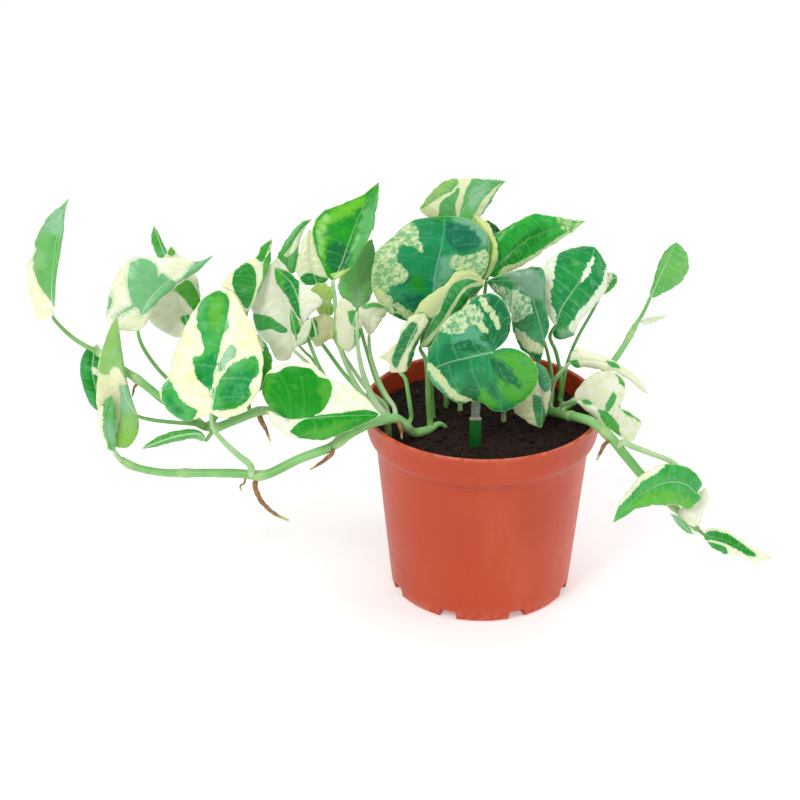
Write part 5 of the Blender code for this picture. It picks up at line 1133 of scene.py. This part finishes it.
leaf("leaf_crown_centre", GREEN, [(433, 300, 8), (435, 275, 12), (439, 257, 17), (443, 238, 24), (445, 216, 33)],
     [(427, 312), (417, 319), (406, 321), (393, 315), (382, 307), (375, 296), (372, 283), (373, 264), (377, 252), (388, 241), (397, 232), (406, 225), (418, 219), (432, 217)],
     [(441, 308), (456, 303), (470, 292), (481, 280), (487, 266), (489.5, 250), (488, 238), (482, 228), (471, 221), (458, 217)],
     slope=(0.1, 0.1), petiole=[(433, 300, 8), (430, 325, 7), (430, 355, 5), (431, 385, 4), (432, 405, 3.5)], pr=(1.0, 1.2, 1.3), cols=10)
leaf("leaf_crown_centre_back", GREEN, [(474, 286, 22), (484, 262, 26), (484, 240, 31), (474, 216, 38)],
     [(468, 275), (470, 255), (470, 235)], [(484, 280), (494, 268), (498, 253), (495, 238), (489, 225), (481, 217.5)],
     petiole=[(474, 286, 22), (470, 310, 20), (466, 340, 16), (462, 370, 13), (460, 395, 11)], cols=6)
leaf("leaf_crown_top", GREEN, [(452, 224, 42), (462, 210, 46), (480, 193, 52), (506, 181, 59)],
     [(440, 222), (428, 217), (420, 209), (426, 199), (433, 191), (440, 183.5), (450, 179.5), (462, 178.5), (480, 179), (495, 179.5)],
     [(462, 226), (474, 222), (483, 213), (491, 202), (499, 188)],
     petiole=[(452, 224, 42), (449, 250, 39), (446, 290, 33), (444, 330, 26), (444, 370, 19), (446, 395, 14)], pr=(0.9, 1.1, 1.2))
leaf("leaf_crown_arching", GREEN, [(420, 348, -10), (430, 325, -9), (442, 303, -7), (456, 283, -4), (467, 276, -2), (484, 280.5, 1)],
     [(420, 338), (422, 326), (413, 318), (417, 309), (425, 298), (436, 291), (446, 284), (455, 273), (464, 270.5), (475, 273)],
     [(434, 345), (446, 331), (458, 315), (467, 303), (476, 294), (483, 287)],
     slope=(-0.1, -0.1), petiole=[(420, 348, -10), (425, 358, -11), (427.5, 375, -11.5), (428, 395, -12), (429, 412, -12), (430, 421, -12)], pr=(1.0, 1.3, 1.4), dome=0.6)
leaf("leaf_crown_low_hero", GREEN, [(492, 352, -25), (470, 357, -29), (450, 362, -31), (427, 371, -32)],
     [(500, 346), (507, 338), (510.5, 326), (510, 313), (504, 302), (496, 295), (488, 293), (478, 296), (464, 307), (452, 315), (442, 326), (434, 340), (428, 354)],
     [(503, 348), (519, 350), (530, 358), (537, 368), (538, 380), (533, 390), (525, 399), (513, 408), (501, 411.5), (491, 409), (483, 403.5), (472, 401), (462, 403), (452, 400), (441, 392), (432, 382)],
     slope=(0.35, -0.1), petiole=[(492, 352, -25), (497, 358, -21), (501, 372, -15), (503, 390, -9), (504, 405, -4), (504, 411, -2)], pr=(1.0, 1.2, 1.2), cols=12)
leaf("leaf_crown_speckled", GREEN, [(544, 341, -4), (539, 318, 0), (530, 296, 4), (514, 281, 8), (486, 281, 12)],
     [(543, 352), (539, 361.5), (530, 356), (521, 348), (515, 336), (512, 323), (509, 308), (502, 299), (493, 290)],
     [(548, 332), (549.5, 324), (547, 312), (545, 298), (545, 282), (543, 269), (531, 267), (514, 271), (500, 275)],
     slope=(-0.05, 0.2), petiole=[(544, 341, -3.7), (547, 350, 1), (550, 364, 5), (552, 382, 7), (552, 398, 7.5)], pr=(0.9, 1.0, 1.1), cols=9)
leaf("leaf_crown_pointed_low", CREAM, [(531, 360, -10), (538, 380, -14), (542, 402, -17), (541, 428, -21)],
     [(521, 365), (513, 383), (511, 401), (513, 410), (521, 417), (530, 423.5)], [(543, 366), (549, 375), (551, 388), (549, 403), (545, 418)],
     slope=(-0.05, 0.3), petiole=[(531, 360, -10), (531, 366, -4), (533, 380, 3), (536, 397, 6)], pr=(0.8, 0.9, 1.0))
leaf("leaf_crown_right_long", GREEN, [(488, 276, 29), (505, 258, 32), (528, 239, 37), (552, 229, 43), (586, 221, 52)],
     [(487, 262), (490, 246), (497, 234), (511, 225), (525, 217), (536, 214), (552, 216), (568, 219)],
     [(496, 277), (509, 272), (524, 264.5), (536, 257), (546, 249), (558, 241.5), (571, 233), (580, 225)],
     slope=(0.1, -0.1), petiole=[(488, 276, 29), (484, 300, 27), (480, 330, 23), (478, 365, 17), (478, 395, 12)], pr=(0.9, 1.1, 1.2))
leaf("leaf_crown_dark_sliver", GREEN, [(480, 252, 45), (488, 238, 48), (501, 231, 52)], [(479, 236), (485, 221), (493, 223)], [(488, 250), (497, 243)],
     petiole=[(480, 252, 45), (478, 275, 42), (474, 310, 36), (471, 350, 28), (470, 390, 20)], cols=5, rows=1, dome=0.0)
leaf("leaf_crown_right", GREEN, [(555, 326, 8), (562, 307, 11), (575, 288, 16), (590, 262, 24), (595, 247, 30)],
     [(550, 318), (544, 305), (542.5, 286), (544, 270), (550, 259), (560, 252.5), (570, 249), (582, 246)],
     [(553, 334), (557, 339), (565, 339), (573, 335), (578, 325), (585, 315), (597, 303), (606, 288), (607.5, 274), (604, 260)],
     slope=(0.1, 0.1), petiole=[(555, 326, 8), (550, 336, 9), (556, 352, 11), (560, 372, 12), (561, 390, 11.5), (560, 399, 11)], pr=(0.9, 1.0, 1.1), cols=10)
leaf("leaf_crown_right_behind", GREEN, [(600, 296, 34), (606, 284, 37), (617, 276, 41)], [(600, 284), (605, 275), (611, 272.5)],
     [(607, 293), (613, 288), (617, 282)],
     petiole=[(600, 296, 34), (592, 312, 31), (580, 333, 27), (572, 350, 23), (566, 368, 19), (563, 385, 16.5)], pr=(0.8, 0.9, 1.0), cols=5, rows=1, dome=0.0)
leaf("leaf_right_upright", GREEN, [(650, 298, 26), (658, 280, 29), (667, 261, 33), (676, 242, 38)],
     [(650, 292), (653, 283), (656, 271), (660, 260), (666, 250)], [(656, 297), (665, 292), (675, 287), (685, 277), (689, 263), (684, 249)],
     slope=(0.2, 0.2), petiole=[(650, 298, 26), (647, 305, 25), (642, 315, 24), (638.5, 320.5, 23.2)], pr=(0.9, 1.0, 1.0), cols=6)
leaf("leaf_right_bract", CREAM, [(640, 322, 23.6), (652, 319, 25), (667, 316, 27)], [(645, 318.5), (655, 316.5)], [(645, 324.5), (656, 321.5)],
     cols=4, rows=1, dome=0.0)
leaf("leaf_right_drooping", CREAM, [(570, 363, -8), (590, 360, -12), (612, 365, -17), (632, 376, -21), (648.5, 394, -25)],
     [(571, 354), (575, 349), (585, 350.5), (599, 355), (612, 360), (626, 368), (640, 380.5)],
     [(576, 367.5), (587, 367), (597, 369), (605, 371), (613, 371), (622, 375.5), (632, 382), (642, 391)],
     slope=(0.6, 0.3), petiole=[(570, 363, -8), (563, 370, -5), (556, 378, -2), (552, 388, 0.5), (550, 398, 1.5), (549, 402, 2)], pr=(0.9, 1.1, 1.2))
leaf("leaf_right_round", CREAM, [(575, 400, -12), (596, 407, -19), (614, 422, -23), (634, 440, -25)],
     [(575, 393), (580, 386), (587, 378.5), (596, 372.5), (605, 371.5), (614, 372.5), (622, 378), (625, 388), (624, 397), (620, 408), (627, 411), (634, 415), (641, 423), (638, 431)],
     [(580, 405), (585, 410), (591, 415), (600, 421.5), (610, 429), (620, 436), (628, 441)],
     slope=(0.1, 0.1), petiole=[(575, 400, -12), (568, 403, -8), (562, 406, -5)], pr=(1.0, 1.1, 1.2), cols=10)
leaf("leaf_right_low", GREEN, [(696, 493, -60), (686, 484, -63), (668, 482, -66), (640, 495, -71), (613, 523, -76)],
     [(702, 485), (699, 477), (690, 469), (678, 464.5), (667, 464), (655, 467), (642, 475), (629, 490), (619, 505)],
     [(701, 497), (696, 503), (689, 509.5), (682, 506), (668, 505), (649, 506), (636, 509), (627, 515)],
     slope=(0.15, -0.1), petiole=[(696, 493, -60), (695, 484, -56), (684, 472, -52.5), (670, 461, -49), (650, 453, -45), (634, 447, -42), (623, 442.5, -39.5)],
     pr=(1.0, 1.2, 1.4, 1.6))
leaf("leaf_right_low_behind", CREAM, [(701, 492, -54), (698, 508, -57), (694, 527, -61)], [(705, 488), (708.5, 498), (703, 512), (700, 523)],
     [(694, 492), (684, 505), (678, 513), (684, 522)], slope=(0.1, 0.1), cols=6, rows=1, dome=0.0,
     petiole=[(701, 492, -54), (700, 500, -50), (696, 510, -49)], pr=(0.6, 0.7, 0.7))
leaf("leaf_right_terminal", GREEN, [(703, 534, -57.5), (722, 539, -61), (742, 548, -64), (772, 558, -68)],
     [(706, 530), (718, 528.5), (729, 532), (740, 538), (752, 546), (762, 552.5)], [(706, 541), (716, 550), (726, 554), (736, 554.5), (746, 559.5), (756, 562.5), (765, 559.5)],
     slope=(0.2, -0.2), cols=8, dome=0.5, petiole=[(703, 534, -57.5), (701, 532, -57), (699.5, 531, -56.8)], pr=(0.9, 0.9, 0.9))
leaf("leaf_right_terminal_bract", GREEN, [(694, 534.5, -60), (684, 526, -61), (670, 513.5, -62)], [(688, 525.5), (679, 517)], [(687, 532.5), (678, 525)],
     cols=4, rows=1, dome=0.0)


for _args, _kw in LEAVES:
    grow(*_args, **_kw)


# ---------------------------------------------------------------------- pot
POT_H, RIM_R, RIM_LOW_R, RIM_H, BODY_TOP_R, BODY_LOW_R, WALL = 100.5, 60.0, 58.6, 18.2, 54.0, 45.8, 1.6
CHANNEL_H, CHANNEL_W, N_NOTCH = 4.4, 9.0, 8
LEDGE = POT_H - RIM_H + WALL


def body_r(z):
    return BODY_LOW_R + (BODY_TOP_R - BODY_LOW_R) * z / (POT_H - RIM_H)


def turned_bm(profile, seg):
    bm = bmesh.new()
    rings = []
    for r, z in profile:
        if r < 1e-6:
            rings.append([bm.verts.new((0, 0, z * MM))])
        else:
            rings.append([bm.verts.new((r * MM * cos(2 * pi * k / seg), r * MM * sin(2 * pi * k / seg), z * MM)) for k in range(seg)])
    pairs = list(zip(rings, rings[1:]))
    if len(rings[0]) > 1 or len(rings[-1]) > 1:
        pairs.append((rings[-1], rings[0]))
    for a, b in pairs:
        for k in range(seg):
            q = list(dict.fromkeys([a[k % len(a)], a[(k + 1) % len(a)], b[(k + 1) % len(b)], b[k % len(b)]]))
            if len(q) > 2:
                bm.faces.new(q)
    bmesh.ops.recalc_face_normals(bm, faces=bm.faces)
    return bm


def plain(name, bm):
    me = bpy.data.meshes.new(name)
    bm.to_mesh(me)
    bm.free()
    ob = bpy.data.objects.new(name, me)
    bpy.context.scene.collection.objects.link(ob)
    return ob


def arc(cx, cz, r, a0, a1, n):
    return [(cx + r * cos(radians(a0 + (a1 - a0) * i / n)), cz + r * sin(radians(a0 + (a1 - a0) * i / n))) for i in range(n + 1)]


step_z = POT_H - RIM_H
ledge_r = body_r(step_z) - WALL
prof = [(0, 0), (20, 0), (BODY_LOW_R - 1.4, 0)] + arc(BODY_LOW_R - 1.3, 1.4, 1.4, -90, 5, 5)
prof += [(body_r(z), z) for z in (6, 16, 30, 45, 60, 72, step_z - 1.4)]
prof += [(body_r(step_z) + 0.12, step_z - 0.5), (body_r(step_z) + 0.6, step_z + 0.05), (55.4, step_z + 0.45), (56.5, step_z + 1.2),
         (57.3, step_z + 2.4), (57.9, step_z + 4.0), (58.3, step_z + 5.6), (58.6, step_z + 7.4), (58.95, POT_H - 8.4), (59.35, POT_H - 5.4), (59.6, POT_H - 3.0)]
prof += [(60.0, POT_H - 1.7)] + arc(59.15, POT_H - 0.95, 0.95, -15, 120, 6)
prof += [(58.1, POT_H - 0.55), (57.85, POT_H - 1.6), (57.45, LEDGE + 6.2), (57.0, LEDGE + 3.2), (56.2, LEDGE + 1.3), (55.4, LEDGE + 0.4), (ledge_r + 0.3, LEDGE),
         (ledge_r, LEDGE - 0.6), (body_r(45) - WALL, 45), (body_r(WALL) - WALL, WALL), (20, WALL), (0, WALL)]
pot = plain("pot_shell", turned_bm(prof, 144))


def channel(x0, x1, half, z0, z1, turn, round_r, bm):
    """Arched channel: a bar with a rounded top, turned about the pot's axis."""
    c, s = cos(turn), sin(turn)
    sec = [(-half, z0), (half, z0)] + [(half - round_r + round_r * cos(radians(a)), z1 - round_r + round_r * sin(radians(a))) for a in (0, 30, 60, 90)]
    sec += [(-half + round_r - round_r * sin(radians(a)), z1 - round_r + round_r * cos(radians(a))) for a in (0, 30, 60, 90)]
    rows = []
    for x in (x0, x1):
        rows.append([bm.verts.new(((x * c - y * s) * MM, (x * s + y * c) * MM, z * MM)) for y, z in sec])
    n = len(sec)
    for k in range(n):
        bm.faces.new((rows[0][k], rows[0][(k + 1) % n], rows[1][(k + 1) % n], rows[1][k]))
    bm.faces.new(rows[0][::-1])
    bm.faces.new(rows[1])


tools = []
for i in range(N_NOTCH):
    turn = radians(-90 + 22.5 + i * 360 / N_NOTCH)
    for op, args in (("UNION", (20.0, body_r(3) - 0.6, CHANNEL_W / 2 + WALL, 0.5, CHANNEL_H + WALL, turn, 1.8)),
                     ("DIFFERENCE", (20.0 + WALL, BODY_LOW_R + 6, CHANNEL_W / 2, -2.0, CHANNEL_H, turn, 1.2))):
        bm = bmesh.new()
        channel(*args[:6], args[6], bm)
        bmesh.ops.recalc_face_normals(bm, faces=bm.faces)
        t = plain(f"tool_{op.lower()}_{i}", bm)
        tools.append(t)
        m = pot.modifiers.new(t.name, "BOOLEAN")
        m.operation, m.solver, m.object = op, "EXACT", t
bm = bmesh.new()
for i in range(N_NOTCH):
    a = radians(-90 + 22.5 + i * 360 / N_NOTCH)
    r = bmesh.ops.create_cone(bm, cap_ends=True, segments=24, radius1=2.6 * MM, radius2=2.6 * MM, depth=8 * MM)
    bmesh.ops.translate(bm, verts=r["verts"], vec=(34 * MM * cos(a), 34 * MM * sin(a), (CHANNEL_H + 1) * MM))
t = plain("tool_holes", bm)
tools.append(t)
m = pot.modifiers.new("holes", "BOOLEAN")
m.operation, m.solver, m.object = "DIFFERENCE", "EXACT", t
dg = bpy.context.evaluated_depsgraph_get()
final = bpy.data.meshes.new_from_object(pot.evaluated_get(dg))
pot.modifiers.clear()
pot.data = final
for t in tools:
    bpy.data.objects.remove(t, do_unlink=True)
final.materials.clear()
final.materials.append(pot_material())
final.shade_smooth()
final.set_sharp_from_angle(angle=radians(32))
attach(pot, "root")
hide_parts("pot")

# --------------------------------------------------------------------- soil
rng = np.random.default_rng(11)
RS, NA, NRG = 56.2, 340, 110
verts, faces = [(0.0, 0.0, soil_top(0, 0) * MM)], []


def lumps(x, y):
    v = Vector((x * 0.085, y * 0.085, 1.7))
    h = 1.4 * noise.noise(v) + 1.0 * noise.noise(v * 2.3) + 1.0 * abs(noise.noise(v * 5.1)) + 0.8 * abs(noise.noise(v * 11.0)) + 0.5 * noise.noise(v * 21.0)
    return h


for i in range(1, NRG + 1):
    r = RS * i / NRG
    for k in range(NA):
        a = 2 * pi * k / NA
        x, y = r * cos(a), r * sin(a)
        z = soil_top(x, y) + lumps(x, y) * (1.0 if r < 52 else 1.0) - 0.6 * smooth01((r - 52) / 4.2) * 1.2
        verts.append((x * MM, y * MM, z * MM))
for k in range(NA):
    faces.append((0, 1 + k, 1 + (k + 1) % NA))
for i in range(NRG - 1):
    for k in range(NA):
        a, b = 1 + i * NA, 1 + (i + 1) * NA
        faces.append((a + k, b + k, b + (k + 1) % NA, a + (k + 1) % NA))
# closed below: down the wall to the floor of the pot
o = 1 + (NRG - 1) * NA
low = len(verts)
for z, r in ((84.0, 52.0), (7.0, 44.0)):
    for k in range(NA):
        a = 2 * pi * k / NA
        verts.append((r * cos(a) * MM, r * sin(a) * MM, z * MM))
for top_i, bot_i in ((o, low), (low, low + NA)):
    for k in range(NA):
        faces.append((top_i + k, bot_i + k, bot_i + (k + 1) % NA, top_i + (k + 1) % NA))
faces.append(tuple(low + NA + k for k in range(NA))[::-1])
mat_idx = [0] * len(faces)
# crumbs
bmc = bmesh.new()
bmesh.ops.create_icosphere(bmc, subdivisions=2, radius=1.0)
ico_v = np.array([v.co[:] for v in bmc.verts])
ico_f = [tuple(v.index for v in f.verts) for f in bmc.faces]
bmc.free()
bmc = bmesh.new()
bmesh.ops.create_icosphere(bmc, subdivisions=1, radius=1.0)
ico1_v = np.array([v.co[:] for v in bmc.verts])
ico1_f = [tuple(v.index for v in f.verts) for f in bmc.faces]
bmc.free()
V = [np.array(verts)]
count = len(verts)
for i in range(1900):
    r = RS * sqrt(rng.random()) * 0.985
    a = rng.random() * 2 * pi
    x, y = r * cos(a), r * sin(a)
    big = i < 120
    size = (0.9 + 1.3 * rng.random()) if big else (0.3 + 0.75 * rng.random() ** 1.5)
    iv, iff = (ico_v, ico_f) if big else (ico1_v, ico1_f)
    sh = iv * (np.array([1, 0.75, 0.6]) + 0.35 * (rng.random(3) - 0.5)) * size
    dis = np.array([noise.noise(Vector(q) * 1.6 + Vector((i * 3.1, 0, 0))) for q in iv])
    sh = sh * (1 + 0.45 * dis)[:, None]
    ca, sa = cos(a * 7), sin(a * 7)
    sh = sh @ np.array([[ca, -sa, 0], [sa, ca, 0], [0, 0, 1]])
    z = soil_top(x, y) + lumps(x, y) + size * 0.22
    V.append((sh + np.array([x, y, z])) * MM)
    faces += [tuple(count + q for q in f) for f in iff]
    mat_idx += [0] * len(iff)
    count += len(iv)
# fibres of peat and fine roots
for i in range(70):
    r = RS * sqrt(rng.random()) * 0.95
    a = rng.random() * 2 * pi
    x, y = r * cos(a), r * sin(a)
    ln = 3 + 9 * rng.random()
    d = rng.random() * 2 * pi
    pts = []
    for j in range(6):
        f = j / 5 - 0.5
        xx = x + cos(d + 0.9 * f) * ln * f
        yy = y + sin(d + 0.9 * f) * ln * f
        q = sqrt(xx * xx + yy * yy)
        if q > 55:
            xx, yy = xx * 55 / q, yy * 55 / q
        pts.append(np.array([xx, yy, soil_top(xx, yy) + lumps(xx, yy) + 0.2 + 0.9 * rng.random() * (0.5 - abs(f)) * 2]) * MM)
    tv, tf, _, _ = tube(catmull(pts, 9), np.full(10, 0.07 + 0.10 * rng.random()), 5, cap=False)
    V.append(tv)
    faces += [tuple(count + q for q in f) for f in tf]
    mat_idx += [1] * len(tf)
    count += len(tv)
make_object("soil_bed", np.concatenate(V), faces, [soil_material("mat_soil"), soil_material("mat_fibre", True)], mat_idx, node="soil", smooth=50)

# --------------------------------------------------------------------- pick
PICK_AT = at(475, 446, -27.7)
px, py = PICK_AT.x / MM, PICK_AT.y / MM
pz = soil_top(px, py)


def plate(name, outline, thick, mat, node, bevel=0.25):
    bm = bmesh.new()
    f = [bm.verts.new(((px + x) * MM, (py - thick / 2) * MM, z * MM)) for x, z in outline]
    face = bm.faces.new(f)
    ext = bmesh.ops.extrude_face_region(bm, geom=[face])
    bmesh.ops.translate(bm, verts=[g for g in ext["geom"] if isinstance(g, bmesh.types.BMVert)], vec=(0, thick * MM, 0))
    bmesh.ops.recalc_face_normals(bm, faces=bm.faces)
    bmesh.ops.bevel(bm, geom=list(bm.edges), offset=bevel * MM, segments=3, profile=0.7, affect="EDGES")
    ob = plain(name, bm)
    ob.data.materials.append(mat)
    ob.data.shade_smooth()
    ob.data.set_sharp_from_angle(angle=radians(35))
    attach(ob, "root")
    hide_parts(node)
    return ob


k = Nodes("mat_pick_green", 0.4)
p = k.place()
n1 = k.noise(p, 300, 3, 0.6)
n2 = k.noise(p, 2400, 2, 0.5)
col = k.mix(k.step(n1, 0.3, 0.7), lin(0, 92, 18), lin(14, 112, 34))
zz = k.parts(p)[2]
col = k.mix(k.math("MULTIPLY", k.math("SUBTRACT", 1.0, k.step(zz, (pz + 1) * MM, (pz + 7) * MM)), k.step(n1, 0.42, 0.55)), col, lin(60, 48, 34))
col = k.mix(k.step(zz, (pz + 15.0) * MM, (pz + 15.5) * MM), col, lin(172, 156, 146))
k.out(Base_Color=col, Roughness=k.math("ADD", 0.3, k.math("MULTIPLY", n2, 0.25)), Normal=k.bump(n2, 0.2, 0.0002))
plate("pick_stake", [(0, pz - 24), (2.9, pz - 21), (2.9, pz + 15.9), (2.3, pz + 16.5), (-2.3, pz + 16.5), (-2.9, pz + 15.9), (-2.9, pz - 21)], 1.3, k.m, "plant_pick")
k = Nodes("mat_pick_clear", 0.22)
p = k.place((0.4, 0.1, 0.2))
n1 = k.noise(p, 420, 3, 0.6)
col = k.mix(k.step(n1, 0.35, 0.65), lin(150, 172, 150), lin(176, 192, 170))
k.out(Base_Color=col, Roughness=k.math("ADD", 0.18, k.math("MULTIPLY", n1, 0.2)), Normal=k.bump(n1, 0.15, 0.0002), Transmission_Weight=0.55)
plate("pick_label", [(-2.1, pz + 16.8), (2.1, pz + 16.8), (2.1, pz + 26.6), (0.9, pz + 28), (-0.9, pz + 28), (-2.1, pz + 26.6)], 0.7, k.m, "plant_pick_tag", 0.18)

# ------------------------------------------------------------ floor, lights
bm = bmesh.new()
bmesh.ops.create_grid(bm, x_segments=2, y_segments=2, size=6.0)
floor = plain("floor", bm)
k = Nodes("mat_floor", 0.9)
n1 = k.noise(k.place(), 3.0, 2, 0.5)
k.out(Base_Color=k.mix(n1, lin(236, 236, 236), lin(240, 240, 240)), Specular_IOR_Level=0.1)
k.b.inputs["Emission Color"].default_value = (1, 1, 1, 1)
k.b.inputs["Emission Strength"].default_value = 0.30
floor.data.materials.append(k.m)
floor.location = (0, 0, -0.0002)

world = bpy.data.worlds.new("studio")
bpy.context.scene.world = world
world.use_nodes = True
bg = world.node_tree.nodes["Background"]
bg.inputs["Color"].default_value = (1.0, 1.0, 1.0, 1.0)
bg.inputs["Strength"].default_value = 0.56


def area(name, loc, target, size, power, colour=(1, 1, 1)):
    d = bpy.data.lights.new(name, "AREA")
    d.shape = "SQUARE"
    d.size = size
    d.energy = power
    d.color = colour
    ob = bpy.data.objects.new(name, d)
    bpy.context.scene.collection.objects.link(ob)
    ob.location = loc
    ob.rotation_euler = (Vector(target) - Vector(loc)).to_track_quat("-Z", "Y").to_euler()
    return ob


mid_pt = (-0.03, 0.0, 0.1)
area("key", (-0.75, -0.95, 1.35), mid_pt, 0.6, 12.0, (1.0, 0.99, 0.97))
area("side", (1.25, -0.25, 0.75), mid_pt, 0.8, 5.0, (0.98, 0.99, 1.0))
area("top", (0.1, 0.55, 1.5), mid_pt, 0.8, 5.0, (0.97, 0.99, 1.0))
